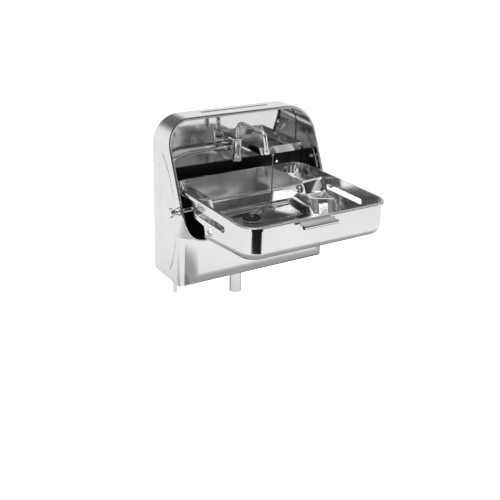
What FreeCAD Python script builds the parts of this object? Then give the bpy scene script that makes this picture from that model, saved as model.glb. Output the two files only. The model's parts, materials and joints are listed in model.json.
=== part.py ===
import FreeCAD
import Part
import math
import os

# Fold-up stainless steel hand wash sink for a wall: a shallow pressed housing
# holds a tap, a soap tray and a mirror panel, and a rectangular bowl tips up
# into the housing about two knob-ended pivots. Water leaves through a spigot
# under the housing.
#
# All sizes are in millimetres. x is the side (right is positive when facing
# the sink), depth is measured forward from the wall, and height is measured
# up from the housing's underside. The origin of the finished part is the
# middle of the four wall holes, on the wall.

# ---- Housing ---------------------------------------------------------------
sheet = 1.0
housing_width = 385.0
housing_height = 366.6
housing_depth = 147.5
housing_top_depth = 55.5
housing_shoulder_height = 152.0
housing_arch_radius = 62.0
housing_foot_radius = 5.0
apron_radius = 38.0
apron_fade_start = 118.0
apron_fade_end = 196.0
apron_fade_radius = 2.0
opening_hem = 4.5
opening_sill_height = 113.0
opening_corner_radius = 50.0

# pressed grooves in the housing's sheet
side_groove_depth_from_wall = 29.0
side_groove_low = 62.0
side_groove_high = 257.0
side_groove_half_width = 6.0
side_groove_press = 2.2
bow_groove_top_depth = 48.0
bow_groove_top_height = 293.0
bow_groove_mid_depth = 108.0
bow_groove_mid_height = 177.0
bow_groove_low_depth = 81.0
bow_groove_low_height = 32.0
bow_groove_half_width = 3.0
bow_groove_press = 1.6
top_groove_left = -81.0
top_groove_right = 86.0
top_groove_depth_from_wall = 24.0
top_groove_half_width = 6.0
top_groove_press = 1.2

# ---- Back plate, its wall holes and the mirror panel ------------------------
wall_hole_spread = 278.0
wall_hole_high = 215.0
wall_hole_low = 60.0
wall_hole_radius = 2.75
mirror_gap = 1.5
mirror_low = 238.0
mirror_corner_radius = 3.0
panel_screw_spread = 278.0
panel_screw_height = 317.0
panel_screw_radius = 2.0
panel_screw_head_radius = 4.6
panel_screw_head_height = 2.8

# ---- Bowl ------------------------------------------------------------------
bowl_sheet = 1.0
rim_width = 359.8
rim_back_depth = 41.9
rim_front_depth = 384.9
rim_height = 223.5
rim_drop = 7.0
rim_overhang = 5.5
rim_edge_radius = 2.4
bowl_corner_radius = 38.0
bowl_bottom_radius = 20.0
floor_back_height = 136.0
floor_bend_depth = 200.0
floor_front_height = 151.5
floor_bend_radius = 300.0
ledge_height = 164.0
ledge_end_depth = 60.0
step_foot_depth = 78.0
step_corner_radius = 8.0
pocket_width = 52.0
pocket_face_ceiling = 203.5
pocket_wall_ceiling = 209.0
pocket_top_depth = 137.0
pocket_mid_depth = 153.0
pocket_mid_height = 177.0
pocket_shift = 4.0
pocket_tail_face = 5.0
pocket_tail_wall = 48.0
pocket_tail_height = 172.0
pocket_toe = 10.0
pocket_corner_radius = 9.0
pocket_steps = 8

# slots with a turned-down lip in both side walls of the bowl
slot_back_depth = 160.0
slot_front_depth = 290.0
slot_height = 193.0
slot_half_height = 6.5
slot_lip_reach = 2.2
slot_lip_thickness = 1.0

# ---- Pivots ----------------------------------------------------------------
pivot_depth = 126.4
pivot_height = 182.9
pivot_shaft_radius = 5.0
running_clearance = 0.05
knob_length = 25.0
knob_collar_radius = 9.5
knob_collar_length = 4.0
knob_waist_radius = 6.5
knob_head_radius = 11.0
knob_head_length = 7.5
bush_flange_radius = 9.0
bush_flange_length = 1.6
bush_wall = 1.6
spacer_radius = 6.2
spacer_face_gap = 0.15
dome_nut_radius = 10.0
dome_nut_height = 6.0
dome_nut_bore_depth = 3.0
stop_peg_radius = 3.0
stop_peg_orbit = 14.5
stop_peg_length = 8.0
stop_cam_length = 6.0
stop_gap = 0.3

# ---- Stay studs on the bowl's side walls ------------------------------------
stud_depth = 225.0
stud_height = 163.0
stud_plate_half = 15.0
stud_plate_thickness = 1.5
stud_plate_radius = 4.0
stud_nut_radius = 6.5
stud_nut_height = 5.0

# ---- Pull on the front rim ---------------------------------------------------
pull_side = -17.0
pull_length = 84.0
pull_plate_thickness = 1.2
pull_roll_radius = 4.2
pull_roll_wall = 1.0
pull_reach = 10.0
pull_root_height = 219.5
pull_fall = 6.0

# ---- Waste fitting and plug ---------------------------------------------------
drain_side = -15.0
drain_depth = 136.5
drain_bore_radius = 15.0
waste_flange_radius = 23.0
waste_flange_height = 1.2
waste_throat_radius = 13.0
waste_tail_length = 15.0
waste_nut_radius = 21.0
waste_nut_height = 5.0
seal_thickness = 1.5
plug_radius = 21.5
plug_height = 4.0
plug_neck_radius = 12.6
plug_neck_height = 5.0
plug_eye_radius = 4.0
plug_eye_wire = 0.9

# ---- Spigot and supply stub under the housing ----------------------------------
spigot_side = -21.0
spigot_depth = 79.0
spigot_radius = 13.8
spigot_wall = 1.2
spigot_length = 63.0
spigot_neck_radius = 13.4
spigot_neck_length = 2.0
spigot_flange_radius = 19.0
spigot_flange_height = 1.2
supply_stub_side = -172.0
supply_stub_depth = 60.0
supply_stub_length = 40.0
supply_tail_wall = 0.5
supply_tail_gap = 1.0
grommet_radius = 7.5
grommet_reach = 2.0

# ---- Tap ------------------------------------------------------------------------
tap_side = -2.5
tap_depth = 46.0
tap_low = 249.0
tap_high = 303.0
tap_radius = 11.8
tap_ring_radius = 12.6
tap_ring_height = 4.0
riser_radius = 5.2
spout_wall = 1.0
spout_crest_height = 340.0
spout_bend_radius = 17.0
spout_reach = 96.0
spout_fall = 8.0
spout_turn = 12.0
nozzle_low = 286.0
nozzle_collar_radius = 7.2
nozzle_collar_length = 14.0
arm_radius = 8.0
arm_height = 278.0
arm_flange_radius = 17.0
arm_flange_thickness = 3.0
feed_depth = 25.0
feed_nut_radius = 8.5
feed_nut_length = 15.0
feed_pipe_radius = 4.0
feed_pipe_wall = 0.8
feed_shift = 4.0
feed_low_bend = 41.0
feed_high_bend = 111.0
feed_turn_height = 260.0
feed_turn_reach = 54.0
feed_bend_radius = 30.0
feed_turn_radius = 34.0

# ---- Soap tray --------------------------------------------------------------------
tray_left = 29.0
tray_right = 150.0
tray_low = 265.0
tray_high = 286.0
tray_front_depth = 93.0
tray_flare = 12.0
tray_front_flare = 9.0
tray_sheet = 1.2
tray_flange_rise = 6.0
tray_corner_radius = 3.0
tray_drain_radius = 2.5
tray_drain_count = 5
rivet_radius = 3.2
rivet_height = 2.2
rivet_margin = 20.0

# ---- Ball chain -------------------------------------------------------------------
chain_radius = 1.9
chain_side = 73.0
chain_depth = 82.0
chain_anchor_drop = 6.0
chain_anchor_radius = 2.6
chain_lift = 0.2
chain_hang_end = 26.0
chain_foot_step = 6.0
chain_pass_gap = 1.0
chain_loop_side = 49.0
chain_loop_depth = 106.0
chain_loop_radius = 15.0
chain_loop_points = 9
chain_loop_start = 50.0
chain_loop_sweep = 400.0

# ---- Values that follow from the ones above ------------------------------------------
half_width = housing_width / 2
mount_height = (wall_hole_high + wall_hole_low) / 2
wall_half = rim_width / 2 - rim_overhang
wall_back = rim_back_depth + rim_overhang
wall_front = rim_front_depth - rim_overhang
rim_underside = rim_height - rim_drop
pocket_face = wall_half - pocket_width
dome_seat = pocket_face - bowl_sheet - bush_flange_length - spacer_face_gap
floor_top = floor_back_height + bowl_sheet
past = 20.0
full_turn = 360.0
square_turn = 90.0


# ---- Helpers -----------------------------------------------------------------------------

def at(side, depth, height):
    """The point at a side, a depth from the wall and a height above the underside."""
    return FreeCAD.Vector(side, -depth, height - mount_height)


def heading(side, depth, height):
    """The direction with these steps to the side, forward and up."""
    return FreeCAD.Vector(side, -depth, height)


def save(name, shape):
    """Writes one sub-part as a STEP file of its own."""
    shape.exportStep("parts/" + name + ".step")
    print(name, len(shape.Solids), round(shape.Volume / 1000, 3), "cm3")


def rounded_wire(points, radii):
    """A closed wire through the points, each corner rounded by its own radius."""
    count = len(points)
    starts = []
    ends = []
    middles = []
    for i in range(count):
        corner = points[i]
        back = (points[i - 1] - corner).normalize()
        ahead = (points[(i + 1) % count] - corner).normalize()
        half = back.getAngle(ahead) / 2
        run = radii[i] / math.tan(half)
        starts.append(corner + back * run)
        ends.append(corner + ahead * run)
        inward = (back + ahead).normalize()
        middles.append(corner + inward * (radii[i] / math.sin(half) - radii[i]))
    edges = []
    for i in range(count):
        if radii[i] > 0:
            edges.append(Part.Arc(starts[i], middles[i], ends[i]).toShape())
        if (starts[(i + 1) % count] - ends[i]).Length > 1e-6:
            edges.append(Part.LineSegment(ends[i], starts[(i + 1) % count]).toShape())
    return Part.Wire(edges)


def prism(points, radii, travel):
    """The rounded outline moved along a straight travel."""
    return Part.Face(rounded_wire(points, radii)).extrude(travel)


def side_prism(outline, radii, left, right):
    """A (depth, height) outline extruded from one side to the other."""
    points = [at(left, depth, height) for depth, height in outline]
    return prism(points, radii, heading(right - left, 0, 0))


def front_prism(outline, radii, back, front):
    """A (side, height) outline extruded from the back towards the front."""
    points = [at(side, back, height) for side, height in outline]
    return prism(points, radii, heading(0, front - back, 0))


def plan_prism(outline, radii, low, high):
    """A (side, depth) outline extruded upward."""
    points = [at(side, depth, low) for side, depth in outline]
    return prism(points, radii, heading(0, 0, high - low))


def block(left, right, back, front, low, high):
    """A plain box between its six limits."""
    outline = [(left, back), (right, back), (right, front), (left, front)]
    return plan_prism(outline, [0, 0, 0, 0], low, high)


def rod(start, direction, radius, length):
    """A round bar from its start along a direction."""
    return Part.makeCylinder(radius, length, start, direction)


def tube(start, direction, radius, wall, length):
    """A round tube from its start along a direction."""
    return rod(start, direction, radius, length).cut(rod(start, direction, radius - wall, length))


def ring(start, direction, outer, inner, length):
    """A flat ring with its own outer and inner radius."""
    return rod(start, direction, outer, length).cut(rod(start, direction, inner, length))


def dome(start, direction, radius, height):
    """A shallow round cap that stands on a flat base."""
    ball_radius = (radius ** 2 + height ** 2) / (2 * height)
    half_angle = math.asin(radius / ball_radius) / 2
    outward = square_to(direction)
    centre = start + direction * (height - ball_radius)
    middle = centre + (direction * math.cos(half_angle) + outward * math.sin(half_angle)) * ball_radius
    top = start + direction * height
    edge = start + outward * radius
    outline = Part.Wire([Part.LineSegment(start, edge).toShape(), Part.Arc(edge, middle, top).toShape(),
                         Part.LineSegment(top, start).toShape()])
    return Part.Face(outline).revolve(start, direction, full_turn)


def square_to(direction):
    """A unit direction square to the given one."""
    across = direction.cross(heading(0, 1, 0))
    if across.Length < 0.5:
        across = direction.cross(heading(0, 0, 1))
    return across.normalize()


def hexagon(start, direction, radius, length):
    """A six-sided nut blank, measured to its corners."""
    across = square_to(direction)
    points = []
    for i in range(6):
        turn = FreeCAD.Rotation(direction, i * full_turn / 6)
        points.append(start + turn.multVec(across) * radius)
    return Part.Face(Part.makePolygon(points + [points[0]])).extrude(direction * length)


def route(points, radii):
    """An open path of straight runs joined by tangent arcs at its inner points."""
    edges = []
    last = points[0]
    for i in range(1, len(points) - 1):
        corner = points[i]
        back = (points[i - 1] - corner).normalize()
        ahead = (points[i + 1] - corner).normalize()
        half = back.getAngle(ahead) / 2
        run = radii[i - 1] / math.tan(half)
        start = corner + back * run
        end = corner + ahead * run
        middle = corner + (back + ahead).normalize() * (radii[i - 1] / math.sin(half) - radii[i - 1])
        edges.append(Part.LineSegment(last, start).toShape())
        edges.append(Part.Arc(start, middle, end).toShape())
        last = end
    edges.append(Part.LineSegment(last, points[-1]).toShape())
    return Part.Wire(edges)


def bar_along(points, radii, radius):
    """A round bar bent along a route."""
    path = route(points, radii)
    circle = Part.Wire(Part.makeCircle(radius, points[0], points[1] - points[0]))
    return path.makePipeShell([circle], True, False)


def tube_along(points, radii, radius, wall):
    """A round tube bent along a route."""
    return bar_along(points, radii, radius).cut(bar_along(points, radii, radius - wall))


def even_radii(points):
    """The largest comfortable bend at each inner point of a hanging cord."""
    radii = []
    for i in range(1, len(points) - 1):
        back = points[i - 1] - points[i]
        ahead = points[i + 1] - points[i]
        turn = math.pi - back.getAngle(ahead)
        radii.append(0.45 * min(back.Length, ahead.Length) / math.tan(turn / 2))
    return radii


def both_sides(shape):
    """The shape and its mirror image on the other side of the sink."""
    return shape, shape.mirror(FreeCAD.Vector(0, 0, 0), FreeCAD.Vector(1, 0, 0))


# ---- Housing -------------------------------------------------------------------------------

def housing_profile(inset):
    """The side view of the housing, drawn in by an inset, reaching past it everywhere but on the top and the slant."""
    slope = (housing_depth - housing_top_depth) / (housing_height - housing_shoulder_height)
    slant = inset * math.sqrt(1 + slope ** 2)
    top_front = housing_top_depth - slant + slope * inset
    high = housing_height - inset
    front = housing_depth + past
    return [
        (-past, -past),
        (-past, high),
        (top_front, high),
        (front, high - (front - top_front) / slope),
        (front, -past),
    ]


def arch_outline(inset):
    """The front view of the housing: rounded shoulders above nearly square feet."""
    side = half_width - inset
    outline = [(-side, inset), (-side, housing_height - inset), (side, housing_height - inset), (side, inset)]
    foot = max(housing_foot_radius - inset, 0.5)
    radii = [foot, housing_arch_radius - inset, housing_arch_radius - inset, foot]
    return outline, radii


def plan_section(inset, front, radius, height):
    """One level of the apron's plan: square at the wall, rounded in front."""
    side = half_width - inset
    points = [at(-side, sheet - inset, height), at(-side, front, height), at(side, front, height),
              at(side, sheet - inset, height)]
    return rounded_wire(points, [0, radius, radius, 0])


def apron_core(inset):
    """The housing's plan at each height: an apron with rounded corners and foot, whose corners fade upward."""
    side = half_width - inset
    front = housing_depth - inset
    low = block(-side, side, sheet - inset, front, inset, apron_fade_start)
    rounds = []
    for edge in low.Edges:
        box = edge.BoundBox
        in_front = -box.YMin - front > -1e-6 and box.YLength < 1e-6
        if in_front and box.ZMin < apron_fade_start - mount_height - 1e-3:
            rounds.append(edge)
    low = low.makeFillet(apron_radius - inset, rounds)
    faded = max(apron_fade_radius - inset, 0.5)
    fade_low = plan_section(inset, front, apron_radius - inset, apron_fade_start)
    fade_high = plan_section(inset, front, faded, apron_fade_end)
    fade = Part.makeLoft([fade_low, fade_high], True, True)
    upper = Part.Face(fade_high).extrude(heading(0, 0, housing_height + past - apron_fade_end))
    return low.fuse([fade, upper])


def corner_cutter(side, height, radius, turn):
    """What stands outside a rounded corner of the front view; turn is 1 above and -1 below."""
    sign = math.copysign(1, side)
    centre_side = side - sign * radius
    centre_height = height - turn * radius
    outline = [(centre_side, centre_height), (centre_side, height + turn * past), (side + sign * past, height + turn * past),
               (side + sign * past, centre_height)]
    corner = front_prism(outline, [0, 0, 0, 0], -past, housing_depth + past)
    return corner.cut(rod(at(centre_side, -2 * past, centre_height), heading(0, 1, 0), radius, housing_depth + 4 * past))


def housing_solid(inset):
    """The housing as a full block, drawn in by an inset."""
    wide = half_width + past
    body = apron_core(inset).common(side_prism(housing_profile(inset), [0, 0, 0, 0, 0], -wide, wide))
    edge = half_width - inset
    foot = max(housing_foot_radius - inset, 0.5)
    for side in (-edge, edge):
        body = body.cut(corner_cutter(side, housing_height - inset, housing_arch_radius - inset, 1))
        body = body.cut(corner_cutter(side, inset, foot, -1))
    return body


def groove_bar(points, outward, half, press, grow):
    """The round bar whose edge presses a groove of this half width and depth into a sheet."""
    radius = (half ** 2 + press ** 2) / (2 * press)
    lifted = [point + outward * (radius - press) for point in points]
    radius = radius + grow
    ends = [Part.makeSphere(radius, lifted[0]), Part.makeSphere(radius, lifted[-1])]
    if len(lifted) == 2:
        path = Part.Wire(Part.LineSegment(lifted[0], lifted[1]).toShape())
        start = lifted[1] - lifted[0]
    else:
        arc = Part.Arc(lifted[0], lifted[1], lifted[2])
        path = Part.Wire(arc.toShape())
        start = FreeCAD.Vector(*arc.tangent(arc.FirstParameter)[0])
    circle = Part.Wire(Part.makeCircle(radius, lifted[0], start))
    return path.makePipeShell([circle], True, False).fuse(ends)


def groove_places():
    """Every pressed groove of the housing: its line, outward direction, half width and depth."""
    places = []
    for side in (-1, 1):
        out = heading(side, 0, 0)
        edge = side * half_width
        line = [at(edge, side_groove_depth_from_wall, side_groove_low),
                at(edge, side_groove_depth_from_wall, side_groove_high)]
        places.append((line, out, side_groove_half_width, side_groove_press))
        bow = [at(edge, bow_groove_top_depth, bow_groove_top_height),
               at(edge, bow_groove_mid_depth, bow_groove_mid_height),
               at(edge, bow_groove_low_depth, bow_groove_low_height)]
        places.append((bow, out, bow_groove_half_width, bow_groove_press))
    top = [at(top_groove_left, top_groove_depth_from_wall, housing_height),
           at(top_groove_right, top_groove_depth_from_wall, housing_height)]
    places.append((top, heading(0, 0, 1), top_groove_half_width, top_groove_press))
    return places


def opening_outline(inset):
    """The front opening: an arch above a sill with rounded corners."""
    side = half_width - opening_hem - inset
    high = housing_height - opening_hem - inset
    low = opening_sill_height + inset
    outline = [(-side, low), (-side, high), (side, high), (side, low)]
    sill = opening_corner_radius - inset
    arch = housing_arch_radius - opening_hem - inset
    return outline, [sill, arch, arch, sill]


def housing_shell():
    """The pressed housing with its opening, grooves and bores."""
    inner = housing_solid(sheet)
    shell = housing_solid(0).cut(inner)
    outline, radii = opening_outline(0)
    shell = shell.cut(front_prism(outline, radii, housing_top_depth / 2, housing_depth + sheet))
    for line, out, half, press in groove_places():
        bump = groove_bar(line, out, half, press, sheet).common(inner)
        shell = shell.fuse(bump).cut(groove_bar(line, out, half, press, 0))
    for side in (-1, 1):
        hole = rod(at(side * (half_width - 2 * sheet), pivot_depth, pivot_height), heading(side, 0, 0),
                   pivot_shaft_radius, 4 * sheet)
        shell = shell.cut(hole)
    down = heading(0, 0, 1)
    shell = shell.cut(rod(at(spigot_side, spigot_depth, -sheet), down, spigot_neck_radius, 4 * sheet))
    shell = shell.cut(rod(at(supply_stub_side, supply_stub_depth, -sheet), down, grommet_radius - 1.5, 4 * sheet))
    return shell


def back_plate():
    """The plate against the wall, with its four wall holes and two panel screw holes."""
    outline, radii = arch_outline(0)
    plate = front_prism(outline, radii, 0, sheet)
    forward = heading(0, 1, 0)
    for side in (-wall_hole_spread / 2, wall_hole_spread / 2):
        for height in (wall_hole_low, wall_hole_high):
            plate = plate.cut(rod(at(side, -sheet, height), forward, wall_hole_radius, 3 * sheet))
    for side in (-panel_screw_spread / 2, panel_screw_spread / 2):
        plate = plate.cut(rod(at(side, -sheet, panel_screw_height), forward, panel_screw_radius, 3 * sheet))
    return plate


def mirror_panel():
    """The polished panel behind the tap, shaped to the arch."""
    inset = sheet + mirror_gap
    side = half_width - inset
    outline = [(-side, mirror_low), (-side, housing_height - inset), (side, housing_height - inset), (side, mirror_low)]
    arch = housing_arch_radius - inset
    panel = front_prism(outline, [mirror_corner_radius, arch, arch, mirror_corner_radius], sheet, 2 * sheet)
    for place in (-panel_screw_spread / 2, panel_screw_spread / 2):
        panel = panel.cut(rod(at(place, 0, panel_screw_height), heading(0, 1, 0), panel_screw_radius, 3 * sheet))
    return panel


def panel_screw(side):
    """A domed screw that holds the mirror panel on the back plate."""
    forward = heading(0, 1, 0)
    place = side * panel_screw_spread / 2
    shank = rod(at(place, 0, panel_screw_height), forward, panel_screw_radius, 2 * sheet)
    head = dome(at(place, 2 * sheet, panel_screw_height), forward, panel_screw_head_radius, panel_screw_head_height)
    return shank.fuse(head)


# ---- Bowl ----------------------------------------------------------------------------------

def bowl_block(inset):
    """The bowl as a full block with rounded corners, drawn in by an inset."""
    side = wall_half - inset
    front = wall_front - inset
    back = wall_back + inset
    low_back = floor_back_height + inset
    low_front = floor_front_height + inset
    outline = [(back, rim_height), (front, rim_height), (front, low_front), (floor_bend_depth, low_back),
               (back, low_back)]
    body = side_prism(outline, [0, 0, 0, floor_bend_radius, 0], -side, side)
    corner = bowl_corner_radius - inset
    plan = plan_prism([(-side, back), (-side, front), (side, front), (side, back)],
                      [corner, corner, corner, corner], low_back - bowl_bottom_radius, rim_height)
    body = body.common(plan)
    bottom = [edge for edge in body.Edges if is_bottom_edge(edge.BoundBox, low_front)]
    return body.makeFillet(bowl_bottom_radius - inset, bottom)


def is_bottom_edge(box, low_front):
    """True for an edge of the bowl's underside that also borders a wall."""
    below = box.ZMax < low_front - mount_height + 1e-3
    inside = wall_back + bowl_corner_radius < -box.Center.y < wall_front - bowl_corner_radius
    across = box.YLength < 1e-6 and inside
    return below and not across


def pocket_section(side, share, inset):
    """The pocket's outline at one side: small at its face, and longer and higher at the bowl's wall."""
    back = wall_back - bowl_sheet - rim_drop
    low = floor_back_height - 2 * rim_drop
    ceiling = pocket_face_ceiling + (pocket_wall_ceiling - pocket_face_ceiling) * share + inset
    shift = pocket_shift * share + inset
    tail = pocket_tail_face + (pocket_tail_wall - pocket_tail_face) * share
    outline = [(back, ceiling), (pocket_top_depth + shift, ceiling), (pocket_mid_depth + shift, pocket_mid_height + inset),
               (pocket_mid_depth + shift + tail, pocket_tail_height + inset),
               (pocket_mid_depth + shift + tail + pocket_toe, low), (back, low)]
    radius = pocket_corner_radius
    return rounded_wire([at(side, depth, height) for depth, height in outline], [0, radius, radius, radius / 4, 0, 0])


def pocket_cutter(inset):
    """The space cut from the right wall round its pivot: a flat face that swells smoothly out to the wall."""
    sections = []
    for i in range(pocket_steps + 1):
        share = i / pocket_steps
        swell = share ** 2 * (3 - 2 * share)
        sections.append(pocket_section(pocket_face - inset + (wall_half - pocket_face) * swell, share, inset))
    sections.append(pocket_section(wall_half + rim_drop, 1, inset))
    return Part.makeLoft(sections, True, True)


def step_cutter(inset):
    """The space cut from below and behind, which leaves the ledge along the back wall."""
    low = floor_back_height - 2 * rim_drop
    outline = [
        (wall_back - bowl_sheet - rim_drop, ledge_height + inset),
        (ledge_end_depth + inset, ledge_height + inset),
        (step_foot_depth + inset, floor_back_height + step_corner_radius),
        (step_foot_depth + inset, low),
        (wall_back - bowl_sheet - rim_drop, low),
    ]
    radii = [0, step_corner_radius + inset, step_corner_radius - inset, 0, 0]
    return side_prism(outline, radii, -wall_half - rim_drop, wall_half + rim_drop)


def slot_places():
    """The two side slots as rounded outlines in the walls."""
    low = slot_height - slot_half_height
    high = slot_height + slot_half_height
    outline = [(slot_back_depth, low), (slot_back_depth, high), (slot_front_depth, high), (slot_front_depth, low)]
    end = slot_half_height - 0.2
    return outline, [end, end, end, end]


def bowl_shell():
    """The pressed bowl: walls, floor, back ledge, pivot pockets and side slots."""
    outer = bowl_block(0).cut(both_sides(pocket_cutter(0))).cut(step_cutter(0))
    inner = bowl_block(bowl_sheet).cut(both_sides(pocket_cutter(bowl_sheet))).cut(step_cutter(bowl_sheet))
    shell = outer.cut(inner)
    outline, radii = slot_places()
    shell = shell.cut(side_prism(outline, radii, -wall_half - 1, wall_half + 1))
    up = heading(0, 0, 1)
    shell = shell.cut(rod(at(drain_side, drain_depth, floor_back_height - 1), up, drain_bore_radius, 4))
    across = heading(1, 0, 0)
    bore = pivot_shaft_radius + running_clearance + bush_wall
    shell = shell.cut(rod(at(-wall_half, pivot_depth, pivot_height), across, bore, 2 * wall_half))
    return shell


def bowl_rim():
    """The turned-down rim round the bowl's mouth."""
    def loop(side, back, front, radius, low):
        outline = [(-side, back), (-side, front), (side, front), (side, back)]
        return plan_prism(outline, [radius, radius, radius, radius], low, rim_height)
    corner = bowl_corner_radius + rim_overhang
    outer = loop(rim_width / 2, rim_back_depth, rim_front_depth, corner, rim_underside)
    top = [edge for edge in outer.Edges if edge.BoundBox.ZMin > rim_height - mount_height - 1e-3]
    outer = outer.makeFillet(rim_edge_radius, top)
    return outer.cut(loop(wall_half, wall_back, wall_front, bowl_corner_radius, rim_underside - 1))


def slot_lip(side):
    """The folded lip along the lower edge of one side slot."""
    outline = [(slot_back_depth + slot_half_height, slot_height - slot_half_height - 2 * slot_lip_thickness),
               (slot_back_depth + slot_half_height, slot_height - slot_half_height),
               (slot_front_depth - slot_half_height, slot_height - slot_half_height),
               (slot_front_depth - slot_half_height, slot_height - slot_half_height - 2 * slot_lip_thickness)]
    near = wall_half
    far = wall_half + slot_lip_reach
    shape = side_prism(outline, [0, 0, 0, 0], near, far)
    if side < 0:
        return both_sides(shape)[1]
    return shape


# ---- Pivots, stops and studs -------------------------------------------------------------------

def pivot_knob(side):
    """A spool-shaped knob and the shaft that carries the bowl."""
    out = heading(side, 0, 0)
    face = at(side * half_width, pivot_depth, pivot_height)
    knob = rod(face, out, knob_collar_radius, knob_collar_length)
    knob = knob.fuse(rod(face, out, knob_waist_radius, knob_length))
    head = rod(face + out * (knob_length - knob_head_length), out, knob_head_radius, knob_head_length)
    rims = [edge for edge in head.Edges if edge.Curve.TypeId == "Part::GeomCircle"]
    knob = knob.fuse(head.makeFillet(1.5, rims))
    inner = dome_seat - dome_nut_bore_depth
    return knob.fuse(rod(at(side * inner, pivot_depth, pivot_height), out, pivot_shaft_radius, half_width - inner))


def pivot_spacer(side):
    """The sleeve between the housing and the bowl, with the cam that stops the bowl level."""
    out = heading(side, 0, 0)
    start = pocket_face + bush_flange_length + spacer_face_gap
    length = half_width - sheet - start
    centre = at(side * start, pivot_depth, pivot_height)
    sleeve = rod(centre, out, spacer_radius, length)
    reach = stop_peg_orbit + stop_peg_radius
    low = pivot_height + stop_peg_radius + stop_gap
    outline = [(pivot_depth - reach, low), (pivot_depth, low), (pivot_depth, pivot_height + spacer_radius),
               (pivot_depth - reach, low + stop_peg_radius)]
    near = side * (start + bush_flange_length)
    finger = side_prism(outline, [0, 0, 0, 0], near, near + side * stop_cam_length)
    return sleeve.fuse(finger).cut(rod(centre, out, pivot_shaft_radius, length))


def pivot_bush(side):
    """The flanged bush that turns with the bowl on the shaft."""
    out = heading(side, 0, 0)
    outer = at(side * pocket_face, pivot_depth, pivot_height)
    inner = at(side * (pocket_face - bowl_sheet), pivot_depth, pivot_height)
    bore = pivot_shaft_radius + running_clearance
    bush = rod(inner, out, bore + bush_wall, bowl_sheet)
    bush = bush.fuse(rod(outer, out, bush_flange_radius, bush_flange_length))
    bush = bush.fuse(rod(inner, out * -1, bush_flange_radius, bush_flange_length))
    return bush.cut(rod(inner - out * 2 * bush_flange_length, out, bore, 5 * bush_flange_length))


def pivot_dome(side):
    """The domed nut on the shaft's inner end, seen inside the bowl."""
    inward = heading(-side, 0, 0)
    start = at(side * dome_seat, pivot_depth, pivot_height)
    nut = dome(start, inward, dome_nut_radius, dome_nut_height)
    return nut.cut(rod(start, inward, pivot_shaft_radius, dome_nut_bore_depth))


def stop_peg(side):
    """The peg on the bowl's pocket that meets the stop cam when the bowl lies level."""
    out = heading(side, 0, 0)
    start = at(side * pocket_face, pivot_depth - stop_peg_orbit, pivot_height)
    return rod(start, out, stop_peg_radius, stop_peg_length)


def stud_plate(side):
    """The diamond washer plate of one stay stud."""
    half = stud_plate_half
    outline = [(stud_depth - half, stud_height), (stud_depth, stud_height + half),
               (stud_depth + half, stud_height), (stud_depth, stud_height - half / 2)]
    near = side * wall_half
    radius = stud_plate_radius
    plate = side_prism(outline, [radius, radius, radius, radius], near, near + side * stud_plate_thickness)
    return plate


def stud_nut(side):
    """The domed nut on one stay stud, with its round washer."""
    out = heading(side, 0, 0)
    start = at(side * (wall_half + stud_plate_thickness), stud_depth, stud_height)
    nut = ring(start, out, stud_nut_radius + 2, stud_nut_radius - 3, 1)
    return nut.fuse(dome(start, out, stud_nut_radius, stud_nut_height))


# ---- Pull --------------------------------------------------------------------------------------------

def pull_plate():
    """The bent sheet of the pull, joined to the front of the rim."""
    left = pull_side - pull_length / 2
    right = pull_side + pull_length / 2
    front = rim_front_depth
    far = front + pull_reach
    outline = [(front, pull_root_height), (front, pull_root_height - 2 * pull_plate_thickness),
               (far, pull_root_height - pull_fall - pull_plate_thickness), (far, pull_root_height - pull_fall)]
    return side_prism(outline, [0, 0, 0, 0], left, right)


def pull_roll():
    """The rolled lower edge of the pull, open at both ends."""
    start = at(pull_side - pull_length / 2, rim_front_depth + pull_reach + pull_roll_radius,
               pull_root_height - pull_fall - pull_plate_thickness / 2)
    return tube(start, heading(1, 0, 0), pull_roll_radius, pull_roll_wall, pull_length)


# ---- Waste fitting, plug and spigot -----------------------------------------------------------------------

def waste_flange():
    """The waste's flange in the bowl's floor, with its threaded tail below."""
    up = heading(0, 0, 1)
    seat = at(drain_side, drain_depth, floor_top)
    flange = rod(seat, up, waste_flange_radius, waste_flange_height)
    tail = rod(seat - up * waste_tail_length, up, drain_bore_radius - 0.3, waste_tail_length)
    body = flange.fuse(tail)
    return body.cut(rod(seat - up * waste_tail_length, up, waste_throat_radius, waste_tail_length + waste_flange_height))


def waste_grid():
    """The cross bars in the waste's throat."""
    up = heading(0, 0, 1)
    low = floor_top - waste_tail_length / 2
    centre = at(drain_side, drain_depth, low)
    bars = []
    for i in range(2):
        turn = i * square_turn
        bar = block(drain_side - waste_throat_radius, drain_side + waste_throat_radius,
                    drain_depth - 1, drain_depth + 1, low, low + 2)
        bars.append(bar.rotated(centre, up, turn))
    grid = bars[0].fuse(bars[1])
    return grid.common(rod(centre, up, waste_throat_radius, 2))


def waste_seal():
    """The rubber ring between the bowl's underside and the waste nut."""
    up = heading(0, 0, 1)
    start = at(drain_side, drain_depth, floor_back_height - seal_thickness)
    return ring(start, up, waste_nut_radius - 1, drain_bore_radius - 0.3, seal_thickness)


def waste_nut():
    """The nut that clamps the waste to the bowl."""
    up = heading(0, 0, 1)
    start = at(drain_side, drain_depth, floor_back_height - seal_thickness - waste_nut_height)
    nut = hexagon(start, up, waste_nut_radius, waste_nut_height)
    return nut.cut(rod(start, up, drain_bore_radius - 0.3, waste_nut_height))


def plug():
    """The plug: a disc over the waste with a tapered neck in its throat."""
    up = heading(0, 0, 1)
    seat = floor_top + waste_flange_height
    disc = rod(at(drain_side, drain_depth, seat), up, plug_radius, plug_height)
    top = [edge for edge in disc.Edges if edge.BoundBox.ZMin > seat + plug_height - mount_height - 1e-3]
    disc = disc.makeFillet(1.5, top)
    neck = Part.makeCone(plug_neck_radius - 0.8, plug_neck_radius, plug_neck_height,
                         at(drain_side, drain_depth, seat - plug_neck_height), up)
    return disc.fuse(neck)


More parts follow.
